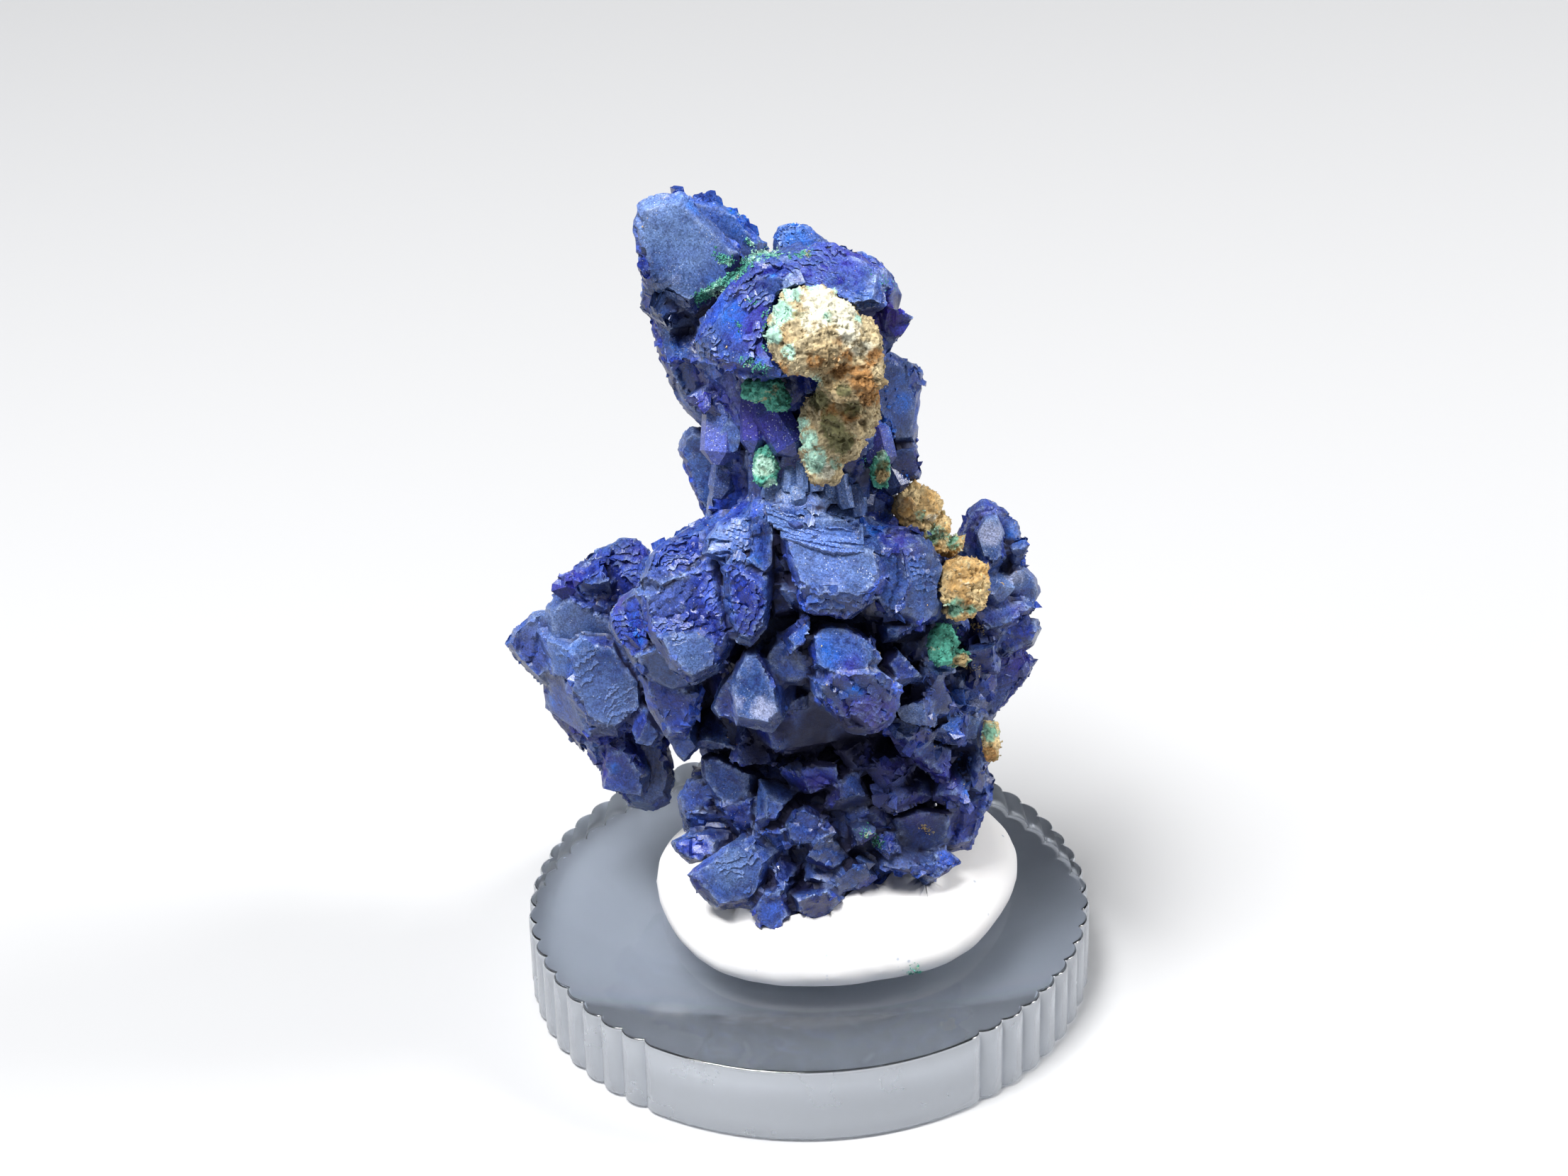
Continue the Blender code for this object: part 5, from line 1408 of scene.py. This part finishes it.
def place_small_crystals():
    dice = np.random.default_rng(650)
    bm = bmesh.new()
    own = []
    for across, up, width, height, lean, out, blunt, violet, bloom in SMALL_CRYSTALS:
        middle = surface_at(across, up)
        middle = middle - FORWARD_ROW * (out - 0.4 * width + 0.15)
        verts = [bm.verts.new(p.tolist()) for p in crystal_points(middle, width, height, lean, blunt, dice)]
        bmesh.ops.convex_hull(bm, input=verts)
        inside = [v for v in verts if not v.link_faces]
        own += [(violet, bloom, dice.random())] * (len(verts) - len(inside))
        bmesh.ops.delete(bm, geom=inside, context="VERTS")
    bmesh.ops.recalc_face_normals(bm, faces=bm.faces)
    made = as_object(bm, "azurite_small_crystals")
    under = np.array([skin_tree.find(v.co)[1] for v in made.data.vertices])
    violet, bloom, chance = np.array(own).T
    set_facts(made.data, violet=violet, bloom=bloom, tone=0.3 + 0.7 * chance, azure=facts["azure"][under],
              open=np.clip(facts["open"][under], 0.45, 0.9), frost=np.maximum(facts["frost"][under], 0.3),
              rough=chance * 0.3, ridge=chance * 0.2, stripe=chance * 30)
    made.data.shade_flat()
    return made


finish_piece(place_small_crystals(), "azurite", azurite_stone)

# %% [markdown]
# ## Limonite and malachite crumbs
#
# The crumbs are earthy and full of tiny grains.  Each starts from its plain solid, gets a fine skin, and is
# pushed in and out by rough noise, so its outline crumbles too.

# %% Crumb material
CRUMB_TINTS = ("cream", "green", "rust", "olive")
HOLLOW_DARK = colour(0.10, 0.065, 0.03)
EARTHY = 0.85


def make_crumb(name, stops, size, tints, seed):
    """An earthy material: a mottle, with each tint where the piece says, its rim made ragged by the grain."""
    material, tree, shader = new_material(name)
    mottle = grain(tree, size, seed)
    fine = grain(tree, 0.12, seed + 2)
    middle = grain(tree, 0.45, seed + 4)
    paint = ramp(tree, mottle["Mottle"], stops)
    ragged = plus(tree, ranged(tree, middle["Mottle"], 0.0, 1.0, -0.40, 0.40),
                  ranged(tree, fine["Mottle"], 0.0, 1.0, -0.25, 0.25))
    for label, tint in zip(CRUMB_TINTS, tints):
        weight = plus(tree, attribute(tree, label), ragged)
        paint = mixed(tree, ranged(tree, weight, 0.30, 0.70, 0.0, 0.92), paint, colour(*tint))
    # Darker in the hollows of the relief.
    hollow = product(tree, ranged(tree, attribute(tree, "height"), -0.02, -0.35), 0.8)
    paint = mixed(tree, hollow, paint, HOLLOW_DARK)
    speck = voronoi_shade(tree, 0.10)
    shade = product(tree, ranged(tree, fine["Mottle"], 0.0, 1.0, 0.55, 1.1),
                    ranged(tree, speck, 0.0, 1.0, 0.7, 1.2))
    normal = bumps(tree, (0.9, 0.16, middle["Height"]), (0.9, 0.07, fine["Height"]), (0.6, 0.05, speck))
    feed(tree, shader, {"Base Color": mixed(tree, 1.0, paint, shade, blend="MULTIPLY"), "Roughness": EARTHY,
                        "Normal": normal})
    return material


CREAM = (0.80, 0.79, 0.64)
SAND = (0.56, 0.47, 0.29)
DARK_SAND = (0.50, 0.40, 0.23)
TAN = (0.40, 0.27, 0.12)
MINT = (0.42, 0.74, 0.62)
PALE_MINT = (0.50, 0.80, 0.66)
LEAF_GREEN = (0.20, 0.52, 0.38)
BRIGHT_SEA_GREEN = (0.10, 0.44, 0.34)
SEA_GREEN = (0.07, 0.34, 0.26)
DEEP_GREEN = (0.010, 0.12, 0.085)
OCHRE = (0.72, 0.45, 0.17)
PALE_OCHRE = (0.84, 0.66, 0.36)
RUST = (0.36, 0.17, 0.045)
OLIVE = (0.17, 0.17, 0.07)

pale_crumb = make_crumb("limonite_pale", ((0.0, TAN), (0.4, DARK_SAND), (0.7, SAND), (1.0, TAN)), 1.0,
                        (CREAM, MINT, RUST, OLIVE), 2.0)
ochre_crumb = make_crumb("limonite_ochre", ((0.0, TAN), (0.35, OCHRE), (0.7, PALE_OCHRE), (1.0, OCHRE)), 0.8,
                         (CREAM, LEAF_GREEN, RUST, OLIVE), 12.0)
green_crumb = make_crumb("malachite_green", ((0.0, DEEP_GREEN), (0.4, SEA_GREEN), (0.7, BRIGHT_SEA_GREEN),
                                             (1.0, SEA_GREEN)), 0.6, (CREAM, PALE_MINT, TAN, OLIVE), 22.0)

# %% [markdown]
# Limonite and malachite grow through each other, so one lump is cream, green and rusty in turn.  The patches
# are noted as places on the sheet.  They go through the whole lump as seen from the front, so each patch also
# colours the lump's edge behind it, and the material's grain makes its rim ragged.

# %% Where the crumbs change colour
# Sheet places: across, up, radius and strength.
CRUMB_AT = {
    "cream": [(0.7, 34.0, 1.3, 1.0), (1.8, 33.4, 1.2, 1.0), (0.4, 32.6, 1.1, 0.7), (2.4, 32.2, 1.1, 0.9),
              (3.0, 31.2, 0.9, 0.9), (1.0, 24.3, 0.7, 0.8), (4.0, 25.6, 0.5, 0.9), (7.0, 21.6, 0.6, 0.5),
              (8.9, 17.9, 0.7, 0.5), (-2.4, 25.2, 0.4, 0.6), (8.4, 19.6, 0.5, 0.5)],
    "green": [(-5.2, 34.7, 1.3, 0.45), (-2.6, 36.5, 1.8, 0.5), (-4.6, 36.4, 0.7, 0.4), (-3.9, 39.0, 0.5, 0.5),
              (-1.6, 33.4, 1.0, 1.0), (-2.0, 32.0, 0.9, 1.0), (-1.0, 34.4, 0.8, 1.0), (0.2, 35.0, 0.7, 1.0),
              (1.6, 34.6, 0.6, 0.8), (2.9, 34.0, 0.6, 1.0), (0.9, 33.0, 0.5, 0.5), (-1.2, 31.0, 0.8, 0.8),
              (0.3, 29.4, 0.8, 0.6), (2.8, 32.9, 0.4, 0.7), (-0.2, 26.0, 0.9, 1.0), (0.4, 24.9, 0.9, 1.0),
              (-0.4, 27.0, 0.6, 0.9), (1.5, 24.8, 0.6, 0.8), (7.3, 20.7, 0.9, 0.9), (8.2, 20.1, 0.7, 0.9),
              (6.3, 21.8, 0.5, 0.8), (8.4, 16.6, 0.8, 1.0), (9.2, 16.4, 0.5, 0.7), (10.3, 9.6, 0.8, 1.0),
              (-2.6, 24.6, 1.0, 1.0), (-2.2, 23.4, 0.7, 0.9), (4.1, 25.2, 0.5, 0.7)],
    "rust": [(3.0, 29.6, 1.3, 1.0), (3.6, 30.6, 0.9, 0.9), (2.0, 30.4, 1.2, 0.7), (0.4, 30.4, 0.9, 0.6),
             (-1.4, 30.2, 0.7, 0.9), (3.5, 28.6, 0.9, 1.0), (2.3, 27.4, 0.8, 0.8), (1.2, 27.6, 0.8, 0.7),
             (1.6, 31.6, 0.6, 0.5), (5.7, 22.4, 0.9, 0.5), (8.8, 17.0, 0.9, 0.5), (8.6, 13.6, 0.6, 0.9),
             (9.0, 14.6, 0.5, 0.8), (10.2, 8.2, 0.6, 0.8), (4.1, 24.0, 0.6, 0.8), (-4.0, 29.6, 0.4, 0.5)],
    "olive": [(1.8, 25.8, 1.0, 0.9), (1.4, 26.8, 1.0, 0.8), (2.4, 27.8, 0.8, 0.7), (0.6, 28.4, 0.9, 0.9),
              (2.0, 28.8, 0.7, 0.8), (4.2, 24.6, 0.5, 0.6), (8.8, 15.4, 0.6, 0.6)],
}
UNDERSIDE_SHADE = 0.55


def painted(points, places):
    """The strength of the nearest spots on the sheet."""
    across, up = on_sheet(points)
    total = np.zeros(len(points))
    for a, b, radius, strength in places:
        away = np.hypot(across - a, up - b) / radius
        total = np.maximum(total, strength * np.clip(1.6 * (1 - away), 0, 1))
    return total


def tints_at(points):
    """How strong each tint is at some points."""
    return {label: painted(points, CRUMB_AT[label]) for label in CRUMB_TINTS}


# %% [markdown]
# A lump is made in three steps: a fine skin on the plain solid, craggy relief along its normals, and facts for
# the material to read.  The buds are small and soft in shape, so they get less relief than the lumps.

# %% Crumb pieces
CRUMB_VOXEL = 0.075
# Slot, material, depth of relief, and how far the whole piece is drawn in.
CRUMBS = {
    "limonite_head_lump": ("limonite", pale_crumb, 0.50, 0.05),
    "limonite_shoulder_lump": ("limonite", ochre_crumb, 0.72, 0.10),
    "limonite_side_lump": ("limonite", ochre_crumb, 0.60, 0.08),
    "limonite_low_flake": ("limonite", ochre_crumb, 0.26, 0.04),
    "malachite_tuft": ("malachite", green_crumb, 0.45, 0.06),
    "malachite_left_bud": ("malachite", green_crumb, 0.34, 0.16),
    "malachite_right_bud": ("malachite", green_crumb, 0.30, 0.08),
    "malachite_side_flake": ("malachite", green_crumb, 0.42, 0.08),
}


def crags(points, size, seed):
    """Sharp crests from 0 to 1 between rounded hollows."""
    return 1 - np.abs(waves(points, size, seed)) * 2


def crumble(points, depth, seed):
    """Craggy relief for an earthy lump: broad swells, crests, broken faces and grains."""
    broad = rough_waves(points, 1.8, seed)
    warped = points + 0.30 * np.stack([waves(points, 0.7, seed + i) for i in (1, 2, 3)], axis=1)
    faces = plates(warped, 1.1, seed + 5)
    small = plates(warped, 0.42, seed + 30)
    crest = 0.5 * crags(warped, 0.8, seed + 50) + 0.3 * crags(warped, 0.35, seed + 51)
    grains = plates(points, 0.2, seed + 60)
    return depth * (0.40 * broad + 0.30 * faces + 0.28 * small + 0.30 * crest + 0.16 * grains)


crumb_points, crumb_normals, crumb_kind = [], [], []
for number, (name, (slot, material, depth, drawn_in)) in enumerate(CRUMBS.items()):
    piece = as_object(merged_copy(name), f"{name}_crumb")
    voxel_skin(piece, CRUMB_VOXEL)
    lump = points_of(piece.data)
    lift = crumble(lump, depth, 100 + 100 * number)
    lump += normals_of(piece.data) * (lift - drawn_in)[:, None]
    set_points(piece.data, lump)
    facing = normals_of(piece.data)
    tints = tints_at(lump)
    # Painted shade: faces that look down take the piece's rust tint, so the undersides read darker.
    tints["rust"] = np.maximum(tints["rust"], np.clip(-facing[:, 2], 0, 1) * UNDERSIDE_SHADE)
    set_facts(piece.data, height=lift / depth * 0.6, **tints)
    crumb_points.append(lump)
    crumb_normals.append(facing)
    crumb_kind.append(np.full(len(lump), slot == "malachite"))
    piece.data.shade_smooth()
    finish_piece(piece, slot, material, name)

# %% [markdown]
# Earthy matrix sheds grains, and they catch the light along its outline.  The scatter tree sets the rounder
# templates on random points of the lumps, three in four of them on the limonite.

# %% Loose grains on the crumbs
GRAINS_ON_CRUMBS = 3600
GRAIN_SIZES = (0.08, 0.34)


def loose_grains(name, places, facing, size, slot, material, seed):
    """Grains on some places, with the facts that the crumb materials need."""
    running = np.random.default_rng(seed).normal(size=(len(places), 3))
    finish_piece(scatter(name, places, facing, running, size, {"height": 0.0, **tints_at(places)},
                         Templates=crumbs, Loose_Turn=1.5, Seed=seed), slot, material)


lump_points = np.concatenate(crumb_points)
lump_normals = np.concatenate(crumb_normals)
is_green = np.concatenate(crumb_kind)
dice = np.random.default_rng(700)
for slot, material, mine, share in (("limonite", pale_crumb, ~is_green, 0.75),
                                    ("malachite", green_crumb, is_green, 0.25)):
    chosen = dice.choice(np.flatnonzero(mine), int(GRAINS_ON_CRUMBS * share), replace=False)
    loose_grains(f"{slot}_grains", lump_points[chosen], lump_normals[chosen],
                 dice.uniform(*GRAIN_SIZES, len(chosen)), slot, material, 701)

# %% [markdown]
# Malachite also grows as a thin seam of green grains along the crack between the two top crystals, and as
# a few specks elsewhere.  Pale dust and limonite grains lie all over.  Each seam is a line on the sheet,
# dropped onto the crystals.

# %% Seams, specks and dust
# Each seam holds its places on the sheet, its half width, the number of grains, and their size.
GREEN_SEAMS = [([(-6.4, 34.0), (-5.5, 34.5), (-4.8, 35.0), (-4.2, 35.3)], 0.30, 800, 0.22),
               ([(-4.2, 35.3), (-3.4, 36.2), (-2.8, 36.6), (-1.5, 36.6), (0.1, 36.7)], 0.26, 900, 0.20),
               ([(-5.2, 36.5), (-4.4, 36.2)], 0.34, 260, 0.19), ([(-4.1, 39.1), (-3.7, 38.9)], 0.20, 120, 0.20),
               ([(-3.5, 37.4), (-3.1, 37.1)], 0.16, 50, 0.15), ([(-3.4, 34.1), (-3.0, 33.7)], 0.30, 70, 0.13),
               ([(-4.1, 32.7), (-3.8, 32.4)], 0.20, 40, 0.13), ([(-2.3, 33.4), (-2.2, 31.2)], 0.32, 160, 0.18),
               ([(-3.6, 30.6), (-2.4, 30.0)], 0.40, 120, 0.16), ([(3.4, 35.6), (4.6, 34.8)], 0.40, 70, 0.14),
               ([(3.1, 3.9), (4.1, 3.1)], 0.34, 130, 0.20), ([(8.0, 15.4), (8.8, 13.8)], 0.50, 90, 0.16),
               ([(3.0, 24.6), (4.6, 25.6)], 0.40, 60, 0.14)]
PALE_SEAMS = [([(6.5, 4.1), (7.0, 3.9)], 0.24, 40, 0.20), ([(8.6, 13.4), (9.6, 13.0)], 0.3, 60, 0.18),
              ([(4.9, 23.4), (6.6, 22.6)], 0.5, 60, 0.18), ([(2.4, 28.0), (3.6, 27.6)], 0.3, 60, 0.16),
              ([(9.2, 15.8), (9.8, 15.2)], 0.3, 40, 0.16)]
PALE_SPECKS = 700
PALE_SPECK_SIZE = (0.05, 0.13)
LARGE_SPECKS = 0.04


def along_line(line, share):
    """The place at a share of the way along a line of sheet places."""
    reach = np.array([0.0] + [math.dist(a, b) for a, b in zip(line, line[1:])]).cumsum()
    flat = np.array(line)
    return [np.interp(share * reach[-1], reach, column) for column in flat.T]


def seam_grains(seams, seed):
    """Places on the crystals, the way they face, and sizes."""
    dice = np.random.default_rng(seed)
    places, facing, sizes = [], [], []
    for line, half_width, count, size in seams:
        for _ in range(count):
            across, up = along_line(line, dice.random())
            across += dice.normal(0, 0.5) * half_width
            up += dice.normal(0, 0.5) * half_width
            hit = crystal_tree.ray_cast(EYE, sight(across, up))
            if hit[0] is not None:
                places.append(np.array(hit[0]))
                facing.append(np.array(hit[1]))
                sizes.append(size * dice.uniform(0.4, 1.3))
    return np.array(places), np.array(facing), np.array(sizes)


loose_grains("malachite_seam", *seam_grains(GREEN_SEAMS, 720), "malachite", green_crumb, 721)
loose_grains("limonite_seam", *seam_grains(PALE_SEAMS, 730), "limonite", pale_crumb, 731)
lying = np.flatnonzero((normals[:, 2] > 0.15) & (facts["open"] > 0.45))
dice = np.random.default_rng(740)
chosen = dice.choice(lying, PALE_SPECKS, replace=False)
size = dice.uniform(*PALE_SPECK_SIZE, len(chosen)) * (1 + (dice.random(len(chosen)) > 1 - LARGE_SPECKS))
loose_grains("limonite_dust", skin[chosen], normals[chosen], size, "limonite", ochre_crumb, 741)

# %% [markdown]
# ## Putty
#
# The putty was pressed on by hand.  It is smooth and matt white, and it follows the feet of the crystals
# closely.  The plain solid keeps a small gap to them, so the skin's points near a crystal are moved onto it.

# %% Putty piece
PUTTY_VOXEL = 0.24
PRESSED_REACH = 0.62
SUNK = 0.05
CLEAR_OF_BASE = 0.3
THUMB_PASSES = 12
# Size, depth and seed of the thumb's dents and of the finer unevenness.
DENTS = ((5.0, 0.14, 300), (1.8, 0.05, 301))
PUTTY_SHADE = colour(0.80, 0.80, 0.82)
PUTTY_WHITE = colour(0.86, 0.86, 0.865)
LINT_GREY = colour(0.45, 0.5, 0.6)
PUTTY_ROUGHNESS = 0.62
PUTTY_GLOW = 0.12
PUTTY_GLOW_REACH = (0.0008, 0.0007, 0.0006)


def make_putty_material():
    material, tree, shader = new_material("white_putty")
    soft = grain(tree, 3.0, 31.0)
    fine = grain(tree, 0.35, 33.0)
    paint = mixed(tree, soft["Mottle"], PUTTY_SHADE, PUTTY_WHITE)
    feed(tree, shader, {"Base Color": mixed(tree, dust(tree, 0.3, 0.02), paint, LINT_GREY),
                        "Roughness": PUTTY_ROUGHNESS, "Subsurface Weight": PUTTY_GLOW,
                        "Subsurface Radius": PUTTY_GLOW_REACH,
                        "Normal": bumps(tree, (0.2, 0.12, soft["Height"]), (0.12, 0.04, fine["Height"]))})
    return material


putty = as_object(merged_copy("mounting_putty"), "white_putty")
voxel_skin(putty, PUTTY_VOXEL)
putty.modifiers.new("thumbed", "SMOOTH").iterations = THUMB_PASSES
apply_modifiers(putty)
blob = points_of(putty.data)
blob += normals_of(putty.data) * sum(depth * waves(blob, size, seed) for size, depth, seed in DENTS)[:, None]
blob[:, 2] = np.maximum(blob[:, 2], BASE_TOP + CLEAR_OF_BASE)
for i, p in enumerate(blob):
    place, normal, _, away = crystal_tree.find_nearest(p, PRESSED_REACH)
    if place is not None:
        blob[i] = place - normal * SUNK
set_points(putty.data, blob)
putty.data.shade_smooth()
finish_piece(putty, "putty", make_putty_material(), "mounting_putty")

# %% [markdown]
# A little malachite rubbed off on the putty when it was pressed on.  It stays there as a faint green stain of
# tiny grains at the front right.

# %% Green stain on the putty
STAIN_AT = (6.0, -4.0)
STAIN_RADIUS = 0.42
STAIN_GRAINS = 36
STAIN_SIZES = (0.10, 0.28)

across, up = on_sheet(blob)
towards = normals_of(putty.data) @ FORWARD_ROW < -0.2
close = np.flatnonzero((np.hypot(across - STAIN_AT[0], up - STAIN_AT[1]) < STAIN_RADIUS) & towards)
dice = np.random.default_rng(810)
chosen = dice.choice(close, STAIN_GRAINS)
places = blob[chosen] + dice.normal(0, 0.10, (STAIN_GRAINS, 3)) * (1.0, 0.3, 0.3)
loose_grains("malachite_stain", places, normals_of(putty.data)[chosen],
             dice.uniform(*STAIN_SIZES, STAIN_GRAINS), "malachite", green_crumb, 811)
print(len(close), "points of the putty under the stain")

# %% [markdown]
# ## Clear base
#
# The base is turned from clear acrylic: a disc with a polished top, a plain band at the front and fine
# vertical flutes round the rest of its edge.  It is see-through by plain transmission.  The cut edge is a
# little hazy, so its faces have a second material that is rougher and lets less light through.  A closed ring
# of points follows the rim at each height of the side profile.

# %% Base piece
RIM_RADIUS = 15.875
FLUTE_PITCH = math.radians(6)
FLUTE_DEPTH = 0.32
PLAIN_HALF = math.radians(33)
RIM_POINTS = 960
EDGE_ROUND = 0.22
# How far along and how far in the rounded edge goes, as shares of its radius.
ROUND = ((0.0, 1.0), (0.3, 0.32), (1.0, 0.0))
EDGE_ANGLE = math.radians(50)
SIDE_SLOPE = 0.5
ACRYLIC_INDEX = 1.49
ACRYLIC_TINT = colour(0.86, 0.91, 0.99)


def flute_depth(turn):
    """How deep the edge is cut at an angle from the front, in millimetres."""
    past = abs(math.remainder(turn, 2 * math.pi)) - PLAIN_HALF
    return 0.0 if past <= 0 else FLUTE_DEPTH * (1 - abs(math.cos(math.pi * past / FLUTE_PITCH)) ** 0.7)


def base_profile():
    """The height of each of the side's rings, and how far it lies in from the rim."""
    low = [(EDGE_ROUND * a, EDGE_ROUND * b) for a, b in ROUND]
    high = [(BASE_TOP - EDGE_ROUND * a, EDGE_ROUND * b) for a, b in reversed(ROUND)]
    return low + [(BASE_TOP * i / 4, 0.0) for i in (1, 2, 3)] + high


def make_base():
    bm = bmesh.new()
    rings = []
    for z, inset in base_profile():
        ring = []
        for i in range(RIM_POINTS):
            turn = 2 * math.pi * i / RIM_POINTS
            radius = RIM_RADIUS - inset - flute_depth(turn)
            ring.append(bm.verts.new((radius * math.sin(turn), -radius * math.cos(turn), z)))
        rings.append(ring)
    for lower, upper in zip(rings, rings[1:]):
        for i in range(RIM_POINTS):
            j = (i + 1) % RIM_POINTS
            bm.faces.new((lower[i], lower[j], upper[j], upper[i]))
    bm.faces.new(list(reversed(rings[0])))
    bm.faces.new(rings[-1])
    bmesh.ops.recalc_face_normals(bm, faces=bm.faces)
    base = as_object(bm, "clear_base")
    base.data.shade_smooth()
    base.data.set_sharp_from_angle(angle=EDGE_ANGLE)
    return base


def make_acrylic(name, roughness, clear):
    """Acrylic that is as rough and as clear as its polish leaves it."""
    material, tree, shader = new_material(name)
    haze = grain(tree, 1.2, 41.0)["Mottle"]
    feed(tree, shader, {"Base Color": ACRYLIC_TINT, "IOR": ACRYLIC_INDEX, "Transmission Weight": clear,
                        "Roughness": ranged(tree, haze, 0.0, 1.0, roughness, roughness + 0.06)})
    return material


base = make_base()
side_faces = [i for i, face in enumerate(base.data.polygons) if abs(face.normal.z) < SIDE_SLOPE]
finish_piece(base, "acrylic", make_acrylic("clear_acrylic", 0.02, 1.0), "acrylic_base")
base.data.materials.append(make_acrylic("cut_acrylic", 0.22, 0.72))
for i in side_faces:
    base.data.polygons[i].material_index = 1

# %% [markdown]
# ## The colour view and the end
#
# The plain colour view keeps the deep blues as they were mixed.  The dressed specimen has to stay inside the
# box of its plain solids.

# %% Colours on screen, and the end
view_settings = bpy.context.scene.view_settings
view_settings.view_transform = "Standard"
view_settings.look = "None"
